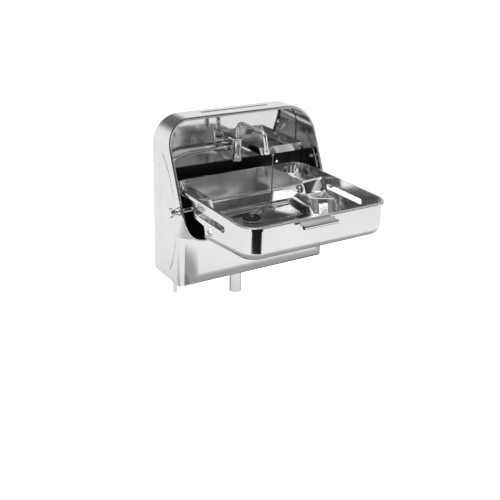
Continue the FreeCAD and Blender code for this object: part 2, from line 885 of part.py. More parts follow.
def plug_eye():
    """The upright ring on the plug that takes the chain."""
    base = floor_top + waste_flange_height + plug_height
    centre = at(drain_side, drain_depth, base + plug_eye_radius)
    return Part.makeTorus(plug_eye_radius, plug_eye_wire, centre, heading(0, 1, 0)).cut(
        rod(at(drain_side, drain_depth, base - 3), heading(0, 0, 1), plug_radius, 3))


def spigot():
    """The waste outlet through the housing's floor, with a flange inside."""
    up = heading(0, 0, 1)
    low = at(spigot_side, spigot_depth, -spigot_length)
    pipe = rod(low, up, spigot_radius, spigot_length - spigot_neck_length)
    neck = rod(at(spigot_side, spigot_depth, -spigot_neck_length), up, spigot_neck_radius, spigot_neck_length + sheet)
    seat = at(spigot_side, spigot_depth, sheet)
    body = pipe.fuse([neck, rod(seat, up, spigot_flange_radius, spigot_flange_height)])
    bore = rod(low, up, spigot_radius - spigot_wall, spigot_length + sheet + spigot_flange_height)
    return body.cut(bore)


def supply_grommet():
    """The rubber grommet where the water pipe passes the housing's floor."""
    up = heading(0, 0, 1)
    low = at(supply_stub_side, supply_stub_depth, -grommet_reach)
    sleeve = rod(low, up, grommet_radius - 1.5, 2 * grommet_reach + sheet)
    body = sleeve.fuse([rod(low, up, grommet_radius, grommet_reach),
                        rod(at(supply_stub_side, supply_stub_depth, sheet), up, grommet_radius, grommet_reach)])
    return body.cut(rod(low, up, feed_pipe_radius, 2 * grommet_reach + sheet))


def supply_tail():
    """The sleeve on the water pipe's free end, where a hose is pushed on."""
    low = at(supply_stub_side, supply_stub_depth, -supply_stub_length)
    length = supply_stub_length - grommet_reach - supply_tail_gap
    return ring(low, heading(0, 0, 1), feed_pipe_radius + supply_tail_wall, feed_pipe_radius, length)


# ---- Tap -----------------------------------------------------------------------------------------------------

def tap_body():
    """The upright valve body, bored for its core."""
    up = heading(0, 0, 1)
    low = at(tap_side, tap_depth, tap_low)
    length = tap_high - tap_low - tap_ring_height
    body = rod(low + up * tap_ring_height, up, tap_radius, length - tap_ring_height)
    return body.cut(rod(low, up, riser_radius + running_clearance, tap_high - tap_low))


def tap_foot():
    """The knurled ring at the foot of the tap, which closes it."""
    low = at(tap_side, tap_depth, tap_low)
    return rod(low, heading(0, 0, 1), tap_ring_radius - 1.4, tap_ring_height)


def tap_cap():
    """The ribbed ring on top of the tap that turns with the spout."""
    up = heading(0, 0, 1)
    low = at(tap_side, tap_depth, tap_high - tap_ring_height)
    cap = rod(low, up, tap_ring_radius, tap_ring_height)
    ribs = 16
    for i in range(ribs):
        angle = math.radians(full_turn * i / ribs)
        spot = at(tap_side + tap_ring_radius * math.cos(angle), tap_depth + tap_ring_radius * math.sin(angle),
                  tap_high - tap_ring_height)
        cap = cap.cut(rod(spot, up, 0.9, tap_ring_height))
    return cap.cut(rod(low, up, riser_radius, tap_ring_height))


def spout_points():
    """The route of the spout from inside the body to the mouth."""
    ahead = math.radians(spout_turn)
    side = tap_side + spout_reach * math.sin(ahead)
    depth = tap_depth + spout_reach * math.cos(ahead)
    bend_side = tap_side + (spout_reach - spout_bend_radius / 2) * math.sin(ahead)
    bend_depth = tap_depth + (spout_reach - spout_bend_radius / 2) * math.cos(ahead)
    low = tap_low + tap_ring_height + 2 * tap_ring_height
    return [at(tap_side, tap_depth, low), at(tap_side, tap_depth, spout_crest_height),
            at(bend_side, bend_depth, spout_crest_height - spout_fall), at(side, depth, nozzle_low)]


def spout():
    """The swivelling spout, one bent tube from the body to the mouth."""
    points = spout_points()
    radii = [spout_bend_radius, spout_bend_radius * 0.7]
    return tube_along(points, radii, riser_radius, spout_wall)


def nozzle():
    """The sleeve on the spout's mouth."""
    points = spout_points()
    along = (points[2] - points[3]).normalize()
    start = points[3] - along * 1.0
    body = rod(start, along, nozzle_collar_radius, nozzle_collar_length)
    return body.cut(rod(start, along, riser_radius, nozzle_collar_length))


def tap_arm():
    """The arm that holds the tap on the back panel."""
    forward = heading(0, 1, 0)
    start = at(tap_side, 2 * sheet + arm_flange_thickness, arm_height)
    arm = rod(start, forward, arm_radius, tap_depth - 2 * sheet - arm_flange_thickness)
    return arm.cut(rod(at(tap_side, tap_depth, tap_low - 1), heading(0, 0, 1), tap_radius, tap_high - tap_low + 2))


def tap_flange():
    """The round flange of the arm on the mirror panel."""
    start = at(tap_side, 2 * sheet, arm_height)
    return rod(start, heading(0, 1, 0), arm_flange_radius, arm_flange_thickness)


def feed_nut():
    """The union nut that joins the water pipe to the arm."""
    left = heading(-1, 0, 0)
    start = at(tap_side - arm_radius / 2, feed_depth, arm_height)
    nut = hexagon(start, left, feed_nut_radius, arm_radius / 2 + feed_nut_length)
    nut = nut.cut(rod(at(tap_side, 0, arm_height), heading(0, 1, 0), arm_radius, tap_depth))
    return nut.cut(rod(start, left, feed_pipe_radius, arm_radius + feed_nut_length))


def feed_pipe_points():
    """The water pipe's route from under the housing, up its left side and across to the arm."""
    side = supply_stub_side
    return [at(side, supply_stub_depth, -supply_stub_length), at(side, supply_stub_depth, feed_low_bend),
            at(side + feed_shift, feed_depth, feed_high_bend), at(side + feed_shift, feed_depth, feed_turn_height),
            at(side + feed_turn_reach, feed_depth, arm_height),
            at(tap_side - arm_radius - feed_nut_length / 3, feed_depth, arm_height)]


def feed_pipe():
    """The bent copper water pipe."""
    radii = [feed_bend_radius, feed_bend_radius, feed_turn_radius, feed_turn_radius]
    return tube_along(feed_pipe_points(), radii, feed_pipe_radius, feed_pipe_wall)


# ---- Soap tray ---------------------------------------------------------------------------------------------------

def tray_block(inset):
    """The tray as a full block that flares upward, drawn in by an inset."""
    back = 2 * sheet + inset
    low = [at(tray_left + tray_flare + inset, back, tray_low + inset),
           at(tray_right - tray_flare - inset, back, tray_low + inset),
           at(tray_right - tray_flare - inset, tray_front_depth - tray_front_flare - inset, tray_low + inset),
           at(tray_left + tray_flare + inset, tray_front_depth - tray_front_flare - inset, tray_low + inset)]
    high = [at(tray_left + inset, back, tray_high), at(tray_right - inset, back, tray_high),
            at(tray_right - inset, tray_front_depth - inset, tray_high),
            at(tray_left + inset, tray_front_depth - inset, tray_high)]
    radius = tray_corner_radius - inset
    rounds = [0, 0, radius, radius]
    return Part.makeLoft([rounded_wire(low, rounds), rounded_wire(high, rounds)], True, True)


def soap_tray():
    """The folded soap tray: flared walls, a drained floor and a flange on the back panel."""
    tray = tray_block(0).cut(tray_block(tray_sheet))
    flange = block(tray_left, tray_right, 2 * sheet, 2 * sheet + tray_sheet, tray_high - tray_flange_rise,
                   tray_high + tray_flange_rise)
    tray = tray.fuse(flange)
    up = heading(0, 0, 1)
    span = tray_right - tray_left - 4 * tray_flare
    for i in range(tray_drain_count):
        spot = at(tray_left + 2 * tray_flare + span * i / (tray_drain_count - 1), tray_front_depth / 2,
                  tray_low - tray_sheet)
        tray = tray.cut(rod(spot, up, tray_drain_radius, 3 * tray_sheet))
    return tray


def tray_rivets():
    """The two domed rivets that hold the tray's flange."""
    forward = heading(0, 1, 0)
    rivets = []
    for side in (tray_left + rivet_margin, tray_right - rivet_margin):
        rivets.append(dome(at(side, 2 * sheet + tray_sheet, tray_high + tray_flange_rise / 2 - rivet_radius / 2),
                           forward, rivet_radius, rivet_height))
    return Part.makeCompound(rivets)


def chain_anchor():
    """The little eye under the tray that holds the chain."""
    up = heading(0, 0, 1)
    start = at(chain_side, chain_depth, tray_low - chain_anchor_drop)
    return rod(start, up, chain_anchor_radius, chain_anchor_drop)


# ---- Ball chain ------------------------------------------------------------------------------------------------------

def chain_drop():
    """The chain's straight hang from the tray towards the bowl's floor."""
    low = floor_top + chain_lift + chain_radius + chain_hang_end
    return rod(at(chain_side, chain_depth, low), heading(0, 0, 1), chain_radius, tray_low - chain_anchor_drop - low)


def chain_lead_points():
    """The route of the chain over the floor: down to its foot, once round a loop and on to the plug's eye."""
    z = floor_top + chain_lift + chain_radius
    over = z + 2 * chain_radius + chain_pass_gap
    eye = floor_top + waste_flange_height + plug_height + plug_eye_radius
    points = [at(chain_side, chain_depth, z + chain_hang_end), at(chain_side, chain_depth, z + chain_hang_end / 3),
              at(chain_side - chain_foot_step, chain_depth + chain_foot_step, z)]
    for i in range(chain_loop_points):
        share = i / (chain_loop_points - 1)
        angle = math.radians(chain_loop_start + chain_loop_sweep * share)
        side = chain_loop_side + chain_loop_radius * math.cos(angle)
        depth = chain_loop_depth - chain_loop_radius * math.sin(angle)
        points.append(at(side, depth, z + (over - z) * max(share - 0.5, 0) * 2))
    last = at(drain_side + plug_eye_radius + 2 * chain_radius, drain_depth - plug_eye_wire, eye)
    leave = points[-1]
    points.append(leave + (last - leave) * 0.4 + heading(0, 0, -chain_radius))
    points.append(leave + (last - leave) * 0.75 + heading(0, 0, chain_radius))
    return points + [last]


def chain_lead():
    """The chain lying on the floor between its hang and the plug."""
    points = chain_lead_points()
    radii = even_radii(points)
    print("chain bend radii", [round(radius, 1) for radius in radii])
    return bar_along(points, radii, chain_radius)


def main():
    """Builds every sub-part and writes its file."""
    os.makedirs("parts", exist_ok=True)
    save("housing_shell", housing_shell())
    save("back_plate", back_plate())
    save("mirror_panel", mirror_panel())
    save("bowl_shell", bowl_shell())
    save("bowl_rim", bowl_rim())
    save("waste_flange", waste_flange())
    save("waste_grid", waste_grid())
    save("waste_seal", waste_seal())
    save("waste_nut", waste_nut())
    save("plug", plug())
    save("plug_eye", plug_eye())
    save("waste_spigot", spigot())
    save("supply_grommet", supply_grommet())
    save("supply_tail", supply_tail())
    save("pull_plate", pull_plate())
    save("pull_roll", pull_roll())
    save("tap_body", tap_body())
    save("tap_foot", tap_foot())
    save("tap_cap", tap_cap())
    save("spout", spout())
    save("nozzle", nozzle())
    save("tap_arm", tap_arm())
    save("tap_flange", tap_flange())
    save("feed_nut", feed_nut())
    save("feed_pipe", feed_pipe())
    save("soap_tray", soap_tray())
    save("tray_rivets", tray_rivets())
    save("chain_anchor", chain_anchor())
    save("chain_drop", chain_drop())
    save("chain_lead", chain_lead())
    for side, word in ((-1, "left"), (1, "right")):
        save("pivot_knob_" + word, pivot_knob(side))
        save("pivot_spacer_" + word, pivot_spacer(side))
        save("pivot_bush_" + word, pivot_bush(side))
        save("pivot_dome_" + word, pivot_dome(side))
        save("stop_peg_" + word, stop_peg(side))
        save("stud_plate_" + word, stud_plate(side))
        save("stud_nut_" + word, stud_nut(side))
        save("slot_lip_" + word, slot_lip(side))
        save("panel_screw_" + word, panel_screw(side))


main()
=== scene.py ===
import bpy
import bmesh
import json
import math
import numpy as np
from bpy.props import FloatProperty, FloatVectorProperty, IntProperty, PointerProperty
from mathutils import Matrix, Vector


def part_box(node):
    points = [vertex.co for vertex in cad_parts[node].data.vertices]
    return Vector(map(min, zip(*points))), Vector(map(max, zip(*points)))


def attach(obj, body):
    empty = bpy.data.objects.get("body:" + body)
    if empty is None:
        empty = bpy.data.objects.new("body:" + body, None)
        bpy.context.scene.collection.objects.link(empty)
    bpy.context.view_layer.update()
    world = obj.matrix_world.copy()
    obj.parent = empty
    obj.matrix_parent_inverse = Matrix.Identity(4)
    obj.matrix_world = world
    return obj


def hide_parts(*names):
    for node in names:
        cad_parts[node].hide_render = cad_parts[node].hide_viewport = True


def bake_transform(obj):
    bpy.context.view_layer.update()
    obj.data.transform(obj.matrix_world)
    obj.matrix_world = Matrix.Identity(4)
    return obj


bl_info = {
    "name": "Fold-up hand wash sink",
    "version": (1, 0, 0),
    "blender": (4, 5, 0),
    "location": "View3D > Sidebar > Hand Wash Sink",
    "description": "Dresses the packed model of a fold-up stainless steel hand wash sink",
    "category": "Add Mesh",
}

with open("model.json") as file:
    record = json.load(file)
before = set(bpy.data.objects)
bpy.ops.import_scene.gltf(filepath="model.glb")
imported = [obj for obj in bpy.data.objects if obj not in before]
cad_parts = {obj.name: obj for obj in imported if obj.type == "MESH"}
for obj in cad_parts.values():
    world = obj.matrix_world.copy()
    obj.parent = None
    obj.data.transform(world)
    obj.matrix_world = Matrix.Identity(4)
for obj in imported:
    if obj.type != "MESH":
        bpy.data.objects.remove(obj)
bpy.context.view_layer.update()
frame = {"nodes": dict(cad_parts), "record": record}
NODES = frame["nodes"]

MM = 0.001
FULL_TURN = 2 * math.pi
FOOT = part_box("housing_shell")[0].z


def at(side, depth, height):
    """The point at a side, a depth from the wall and a height above the housing's underside, all in mm."""
    return np.array([side * MM, -depth * MM, height * MM + FOOT])


# ---- Sizes and colours a user would change ---------------------------------------------------

def colour(name, text, value):
    """A colour property with its name, description and default."""
    return FloatVectorProperty(name=name, description=text, default=value, size=3, min=0, max=1,
                               subtype="COLOR")


class SinkFinish(bpy.types.PropertyGroup):
    """Colours and polish of the sink's materials."""
    steel: colour("Steel", "Reflected colour of the polished stainless sheet", (0.84, 0.845, 0.85))
    panel: colour("Mirror panel", "Reflected colour of the panel behind the tap", (0.80, 0.805, 0.81))
    chrome: colour("Chrome", "Reflected colour of the tap and fittings", (0.86, 0.86, 0.865))
    chain: colour("Chain", "Reflected colour of the ball chain", (0.30, 0.30, 0.305))
    rubber: colour("Rubber", "Colour of the plug and seals", (0.018, 0.018, 0.019))
    # Painted shade: the wall plate's black stands in for the shade and dark reflection below the panel.
    painted_shade: colour("Coat", "Colour of the black coat on the wall plate", (0.012, 0.012, 0.013))
    plastic: colour("Plastic", "Colour of the waste nut and the pivot bushes", (0.03, 0.03, 0.031))
    steel_roughness: FloatProperty(name="Steel roughness", description="Blur of the sheet's reflections",
                                   default=0.14, min=0, max=1)
    panel_roughness: FloatProperty(name="Panel roughness", description="Blur of the panel's reflections",
                                   default=0.06, min=0, max=1)
    chrome_roughness: FloatProperty(name="Chrome roughness", description="Blur of the chrome's reflections",
                                    default=0.04, min=0, max=1)


class SinkSizes(bpy.types.PropertyGroup):
    """Sizes of the small formed details."""
    ball_radius: FloatProperty(name="Ball radius", description="Radius of one ball of the chain",
                               default=1.9 * MM, unit="LENGTH")
    ball_pitch: FloatProperty(name="Ball pitch", description="Distance between two balls of the chain",
                              default=4.6 * MM, unit="LENGTH")
    link_radius: FloatProperty(name="Link radius", description="Radius of the wire between two balls",
                               default=0.6 * MM, unit="LENGTH")
    hem_radius: FloatProperty(name="Hem radius", description="Radius of the rolled edge round the opening",
                              default=1.7 * MM, unit="LENGTH")
    cap_ribs: IntProperty(name="Cap ribs", description="Ribs round the tap's turning cap", default=28, min=4)
    foot_ribs: IntProperty(name="Foot ribs", description="Ribs round the tap's foot", default=40, min=4)


class SinkStage(bpy.types.PropertyGroup):
    """Camera and studio."""
    camera: FloatVectorProperty(name="Camera", description="Place of the camera",
                                default=(-0.9513, -1.6296, 0.6678), size=3, unit="LENGTH")
    azimuth: FloatProperty(name="Azimuth", description="Direction the camera looks from, in degrees",
                           default=-31.92)
    elevation: FloatProperty(name="Elevation", description="Height the camera looks from, in degrees",
                             default=18.79)
    roll: FloatProperty(name="Roll", description="Tilt of the picture, in degrees", default=1.24)
    focal: FloatProperty(name="Focal length", description="Focal length in mm over a 36 mm wide film",
                         default=59.96)
    shift: FloatProperty(name="Shift", description="Upward shift of the picture's frame", default=-0.12)
    floor: colour("Floor", "Colour of the floor", (0.93, 0.93, 0.93))
    floor_glow: FloatProperty(name="Floor glow", description="Light added to the floor for the camera",
                              default=0.95, min=0)
    mirror_glow: FloatProperty(name="Mirror glow", description="Light added to the floor seen in reflections",
                               default=0.5, min=0)
    # The floor dimmed near the sink is a painted shade under it, seen in reflections and in bounced light.
    painted_shade_reach: FloatProperty(name="Dark reach", description="Radius of the dimmed floor",
                              default=0.7, unit="LENGTH")
    painted_shade_share: FloatProperty(name="Dark share", description="Share of brightness left to the dimmed floor",
                              default=0.38, min=0, max=1)
    light_reach: FloatProperty(name="Light reach", description="Radius from which the floor is not dimmed",
                               default=2.0, unit="LENGTH")
    floor_drop: FloatProperty(name="Floor drop", description="Distance from the wall holes down to the floor",
                              default=0.85, unit="LENGTH")


# ---- Meshes ----------------------------------------------------------------------------------

WELD_GAP = 0.002 * MM
SLIVER_GAP = 0.001 * MM
CORNER_SHARE = 0.45
GROOVE_POWER = 0.7
RIBBED_SHARE = 0.93
FEWEST_ARC_POINTS = 6
FLAT_WEIGHT = 100


def grid_faces(rows, columns, wrap_rows, wrap_columns):
    """The quads of a grid of points, closed round either way where asked."""
    i = np.arange(rows if wrap_rows else rows - 1)
    j = np.arange(columns if wrap_columns else columns - 1)
    i, j = np.meshgrid(i, j, indexing="ij")
    i_next = (i + 1) % rows
    j_next = (j + 1) % columns
    quads = np.stack([i * columns + j, i * columns + j_next,
                      i_next * columns + j_next, i_next * columns + j], -1)
    return quads.reshape(-1, 4)


def new_object(name, data):
    """A new object in the scene."""
    made = bpy.data.objects.new(name, data)
    bpy.context.scene.collection.objects.link(made)
    return made


def finish_mesh(name, mesh, finish, sharp):
    """Merges doubles, turns faces outward, smooths up to an angle, and adds the finish and the object."""
    work = bmesh.new()
    work.from_mesh(mesh)
    bmesh.ops.remove_doubles(work, verts=work.verts, dist=WELD_GAP)
    bmesh.ops.dissolve_degenerate(work, edges=work.edges, dist=SLIVER_GAP)
    bmesh.ops.recalc_face_normals(work, faces=work.faces)
    work.to_mesh(mesh)
    work.free()
    mesh.shade_smooth()
    mesh.set_sharp_from_angle(angle=math.radians(sharp))
    mesh.materials.clear()
    mesh.materials.append(finish)
    return new_object(name, mesh)


def surface(name, points, finish, wrap_rows=False, wrap_columns=True, sharp=35.0):
    """A piece from a grid of points, rows by columns by xyz."""
    rows, columns = points.shape[:2]
    faces = grid_faces(rows, columns, wrap_rows, wrap_columns)
    mesh = bpy.data.meshes.new(name)
    mesh.from_pydata(points.reshape(-1, 3).tolist(), [], faces.tolist())
    return finish_mesh(name, mesh, finish, sharp)


def place(piece, body, slot, *nodes):
    """Lets a piece ride on a body and stand for its CAD nodes, which it hides; the slot is not used."""
    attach(piece, body)
    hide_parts(*nodes)
    return piece


def across(direction):
    """Two unit directions square to the given one and to each other."""
    direction = np.asarray(direction, float)
    helper = np.array([0.0, 0.0, 1.0]) if abs(direction[2]) < 0.9 else np.array([1.0, 0.0, 0.0])
    first = np.cross(direction, helper)
    first /= np.linalg.norm(first)
    return first, np.cross(direction, first)


def rounded(corners, radius, steps=5):
    """A polyline of (along, out) corners in mm, each inner one rounded by a parabola between its two runs."""
    corners = [np.array(corner, float) for corner in corners]
    line = [corners[0]]
    for before, corner, after in zip(corners, corners[1:], corners[2:]):
        back = before - corner
        ahead = after - corner
        reach = min(radius, CORNER_SHARE * np.linalg.norm(back), CORNER_SHARE * np.linalg.norm(ahead))
        start = corner + back / np.linalg.norm(back) * reach
        end = corner + ahead / np.linalg.norm(ahead) * reach
        share = np.linspace(0, 1, steps)[:, None]
        line.extend((1 - share) ** 2 * start + 2 * share * (1 - share) * corner + share ** 2 * end)
    line.append(corners[-1])
    return np.array(line)


def turned(name, start, direction, profile, finish, segments=64, ribs=0, rib_depth=0.0, sharp=35.0):
    """A lathe surface: each profile point (along, out) in mm goes round the axis at its own radius.

    Where ribs are asked, the outer radius falls by rib_depth (mm) in a rounded groove between two ribs.
    """
    direction = np.asarray(direction, float)
    first, second = across(direction)
    angle = np.linspace(0, FULL_TURN, segments, endpoint=False)
    along = profile[:, 0][:, None] * MM
    out = np.repeat(profile[:, 1][:, None], segments, 1) * MM
    if ribs:
        groove = np.abs(np.sin(angle * ribs / 2))[None, :] ** GROOVE_POWER
        ribbed = out > RIBBED_SHARE * out.max()
        out = np.where(ribbed, out - rib_depth * MM * (1 - groove), out)
    spokes = np.cos(angle)[None, :, None] * first + np.sin(angle)[None, :, None] * second
    points = np.asarray(start, float) + along[..., None] * direction + out[..., None] * spokes
    return surface(name, points, finish, sharp=sharp)


def bent_route(points, radii, step=1.2):
    """Samples along straight runs joined by tangent arcs, cut at radius / tan(half angle) from the corner."""
    points = [np.array(point, float) for point in points]
    line = [points[0]]
    for i in range(1, len(points) - 1):
        corner = points[i]
        back = points[i - 1] - corner
        ahead = points[i + 1] - corner
        back /= np.linalg.norm(back)
        ahead /= np.linalg.norm(ahead)
        half = math.acos(float(np.clip(back @ ahead, -1, 1))) / 2
        radius = radii[i - 1] * MM
        inward = (back + ahead) / np.linalg.norm(back + ahead)
        centre = corner + inward * radius / math.sin(half)
        start = corner + back * radius / math.tan(half)
        sweep = math.pi - 2 * half
        count = max(int(radius * sweep / (step * MM)), FEWEST_ARC_POINTS)
        angle = np.linspace(0, sweep, count)[:, None]
        spoke = (start - centre) / radius
        line.extend(centre + radius * (np.cos(angle) * spoke - np.sin(angle) * back))
    line.append(points[-1])
    return np.array(line)


def frames_along(line):
    """The tangent and two cross directions at each point, carried along without twist."""
    tangent = np.gradient(line, axis=0)
    tangent /= np.linalg.norm(tangent, axis=1)[:, None]
    first, _ = across(tangent[0])
    firsts = []
    for direction in tangent:
        first = first - direction * (first @ direction)
        first = first / np.linalg.norm(first)
        firsts.append(first)
    firsts = np.array(firsts)
    return tangent, firsts, np.cross(tangent, firsts)


def swept(name, line, radius, finish, bore=0.0, segments=32, sharp=35.0):
    """A round bar or tube carried along a line: a circle of the given radii stands square to the line.

    With a bore, the circle runs out along the outside, turns at the mouth and comes back along the inside.
    """
    _, first, second = frames_along(line)
    radius = np.broadcast_to(np.asarray(radius, float), (len(line),))
    angle = np.linspace(0, FULL_TURN, segments, endpoint=False)
    spokes = np.cos(angle)[None, :, None] * first[:, None] + np.sin(angle)[None, :, None] * second[:, None]
    outer = line[:, None] + radius[:, None, None] * spokes
    if bore:
        inner = line[:, None] + bore * spokes
        points = np.concatenate([outer, inner[::-1]])
        return surface(name, points, finish, wrap_rows=True, sharp=sharp)
    cap = [np.repeat(line[:1, None], segments, 1), outer, np.repeat(line[-1:, None], segments, 1)]
    return surface(name, np.concatenate(cap), finish, sharp=sharp)


def smooth_copy(name, node, finish, sharp=24.0):
    """A copy of a CAD node's mesh with its loose triangles merged and its flats kept flat in the light."""
    piece = finish_mesh(name, NODES[node].data.copy(), finish, sharp)
    flat = piece.modifiers.new("Flat faces", "WEIGHTED_NORMAL")
    flat.mode = "FACE_AREA"
    flat.weight = FLAT_WEIGHT
    flat.keep_sharp = True
    return piece


def body_of_node(node):
    """The body that a CAD node rides on."""
    for body, members in frame["record"]["behaviour"]["bodies"].items():
        if node in members:
            return body
    raise ValueError(node)


def slot_of_node(node):
    """The record's material slot of a CAD node."""
    for row in frame["record"]["subparts"]:
        if row["node"] == node:
            return row["material_slot"]
    raise ValueError(node)


# ---- Materials -------------------------------------------------------------------------------

POLISH_DEFAULTS = {"Roughness": 0.1, "Cloud Scale": 22.0, "Cloud Amount": 0.04, "Scratch Scale": 900.0}
SCRATCH_STRETCH = (0.06, 1.0, 1.0)
CLOUD_TINT = (0.94, 1.04)
SCRATCH_DEPTH = 0.05 * MM
GRAIN_DEPTH = 0.1 * MM
GRAIN_TINT = (0.8, 1.5)
GRAIN_BLUR = 0.08


def new_material(name):
    """A new material and its Principled shader."""
    made = bpy.data.materials.new(name)
    made.use_nodes = True
    return made, made.node_tree.nodes["Principled BSDF"]


def math_node(tree, operation, *values):
    """The result of a math node whose inputs are linked to sockets or set to numbers."""
    node = tree.nodes.new("ShaderNodeMath")
    node.operation = operation
    for socket, value in zip(node.inputs, values):
        if isinstance(value, bpy.types.NodeSocket):
            tree.links.new(value, socket)
        else:
            socket.default_value = value
    return node.outputs[0]


def polish_group():
    """Fine wear of a polished metal: cloudy wiping marks and thin scratches, in colour, blur and height."""
    if "Polish wear" in bpy.data.node_groups:
        return bpy.data.node_groups["Polish wear"]
    group = bpy.data.node_groups.new("Polish wear", "ShaderNodeTree")
    for name, default in POLISH_DEFAULTS.items():
        socket = group.interface.new_socket(name, in_out="INPUT", socket_type="NodeSocketFloat")
        socket.default_value = default
    group.interface.new_socket("Colour", in_out="INPUT", socket_type="NodeSocketColor")
    group.interface.new_socket("Colour", in_out="OUTPUT", socket_type="NodeSocketColor")
    group.interface.new_socket("Roughness", in_out="OUTPUT", socket_type="NodeSocketFloat")
    group.interface.new_socket("Height", in_out="OUTPUT", socket_type="NodeSocketFloat")
    add = group.nodes.new
    link = group.links.new
    inside = add("NodeGroupInput")
    outside = add("NodeGroupOutput")
    place_on = add("ShaderNodeTexCoord")
    cloud = add("ShaderNodeTexNoise")
    cloud.inputs["Detail"].default_value = 4
    link(place_on.outputs["Object"], cloud.inputs["Vector"])
    link(inside.outputs["Cloud Scale"], cloud.inputs["Scale"])
    stretch = add("ShaderNodeMapping")
    stretch.inputs["Scale"].default_value = SCRATCH_STRETCH
    link(place_on.outputs["Object"], stretch.inputs["Vector"])
    scratch = add("ShaderNodeTexNoise")
    scratch.inputs["Detail"].default_value = 2
    link(stretch.outputs["Vector"], scratch.inputs["Vector"])
    link(inside.outputs["Scratch Scale"], scratch.inputs["Scale"])
    centred = math_node(group, "SUBTRACT", cloud.outputs["Fac"], 0.5)
    spread = math_node(group, "MULTIPLY_ADD", centred, inside.outputs["Cloud Amount"],
                       inside.outputs["Roughness"])
    link(spread, outside.inputs["Roughness"])
    link(scratch.outputs["Fac"], outside.inputs["Height"])
    tint = add("ShaderNodeMapRange")
    tint.inputs["To Min"].default_value, tint.inputs["To Max"].default_value = CLOUD_TINT
    link(cloud.outputs["Fac"], tint.inputs["Value"])
    scale = add("ShaderNodeVectorMath")
    scale.operation = "SCALE"
    link(inside.outputs["Colour"], scale.inputs[0])
    link(tint.outputs["Result"], scale.inputs["Scale"])
    link(scale.outputs["Vector"], outside.inputs["Colour"])
    return group


def metal(name, tone, roughness, cloud_amount, bump):
    """A polished metal whose roughness, tint and fine relief come from the shared polish wear."""
    made, shader = new_material(name)
    shader.inputs["Metallic"].default_value = 1.0
    wear = made.node_tree.nodes.new("ShaderNodeGroup")
    wear.node_tree = polish_group()
    wear.inputs["Roughness"].default_value = roughness
    wear.inputs["Cloud Amount"].default_value = cloud_amount
    wear.inputs["Colour"].default_value = (*tone, 1)
    relief = made.node_tree.nodes.new("ShaderNodeBump")
    relief.inputs["Strength"].default_value = bump
    relief.inputs["Distance"].default_value = SCRATCH_DEPTH
    link = made.node_tree.links.new
    link(wear.outputs["Colour"], shader.inputs["Base Color"])
    link(wear.outputs["Roughness"], shader.inputs["Roughness"])
    link(wear.outputs["Height"], relief.inputs["Height"])
    link(relief.outputs["Normal"], shader.inputs["Normal"])
    return made


def moulded(name, tone, roughness, grain_scale, bump):
    """A matt moulded rubber or plastic with a fine grain."""
    made, shader = new_material(name)
    add = made.node_tree.nodes.new
    link = made.node_tree.links.new
    place_on = add("ShaderNodeTexCoord")
    grain = add("ShaderNodeTexNoise")
    grain.inputs["Scale"].default_value = grain_scale
    grain.inputs["Detail"].default_value = 5
    link(place_on.outputs["Object"], grain.inputs["Vector"])
    blend = add("ShaderNodeMix")
    blend.data_type = "RGBA"
    for end, share in zip("AB", GRAIN_TINT):
        blend.inputs[end].default_value = (*[share * part for part in tone], 1)
    link(grain.outputs["Fac"], blend.inputs["Factor"])
    link(blend.outputs["Result"], shader.inputs["Base Color"])
    rough = add("ShaderNodeMapRange")
    rough.inputs["To Min"].default_value = roughness - GRAIN_BLUR
    rough.inputs["To Max"].default_value = roughness + GRAIN_BLUR
    link(grain.outputs["Fac"], rough.inputs["Value"])
    link(rough.outputs["Result"], shader.inputs["Roughness"])
    relief = add("ShaderNodeBump")
    relief.inputs["Strength"].default_value = bump
    relief.inputs["Distance"].default_value = GRAIN_DEPTH
    link(grain.outputs["Fac"], relief.inputs["Height"])
    link(relief.outputs["Normal"], shader.inputs["Normal"])
    return made


METALS = {
    "polished_steel": ("steel", 0.05, 0.02),
    "mirror_steel": ("panel", 0.03, 0.01),
    "bright_chrome": ("chrome", 0.03, 0.01),
}
MOULDINGS = {
    # The wall plate's dark_coat slot is painted shade: black for the shade and dark reflection below the
    # panel.
    "dark_coat": ("painted_shade", 0.35, 700.0, 0.1),
    "dark_plastic": ("plastic", 0.45, 1500.0, 0.25),
}
RUBBER = ("rubber", 0.6, 900.0, 0.4)


def finish_of(slot):
    """The finish for a record's material slot, made once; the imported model's own materials stay unused.

    METALS gives the colour property, the cloudiness and the relief; MOULDINGS and RUBBER give the colour
    property, the roughness, the grain's scale and the relief.
    """
    name = slot.replace("_", " ")
    if name in bpy.data.materials:
        return bpy.data.materials[name]
    look = bpy.context.scene.sink_finish
    if slot in METALS:
        part, cloud_amount, bump = METALS[slot]
        return metal(name, getattr(look, part), getattr(look, part + "_roughness"), cloud_amount, bump)
    part, roughness, grain_scale, bump = MOULDINGS.get(slot, RUBBER)
    return moulded(name, getattr(look, part), roughness, grain_scale, bump)


# ---- Camera and studio -----------------------------------------------------------------------

# The ramps' stops are (height looked at, brightness): 0 is straight down, 0.5 level and 1 straight up.
BEHIND_STOPS = [(0, 0.9), (0.5, 0.95), (0.64, 0.85), (0.74, 0.12), (0.86, 0.3), (1, 0.95)]
BEFORE_STOPS = [(0, 0.9), (0.5, 0.95), (0.535, 0.10), (0.87, 0.03), (0.94, 0.8), (1, 0.95)]
FRONT_BLEND = 0.25
LAMP_TARGET = (0, -0.15, 0)
# A lamp's name, place, width and height in metres, and power; a card's name, corner, sides and grey.
LAMPS = [("Key lamp", (-1.2, -1.6, 2.0), 1.4, 1.4, 10), ("Fill lamp", (1.8, -1.2, 0.9), 1.2, 1.6, 5)]
CARDS = [("corner_card", (-0.46, -0.64, -0.14), (0.38, 0, 0), (0, 0, 0.24), 0.01),
         ("under_card", (-0.15, 0.1, -0.8), (0.9, 0, 0), (0, 0, 0.62), 0.02)]
FLOOR_REACH = 12.0
FLOOR_ROUGHNESS = 0.9
FILM_WIDTH = 36
FARTHEST_SEEN = 50


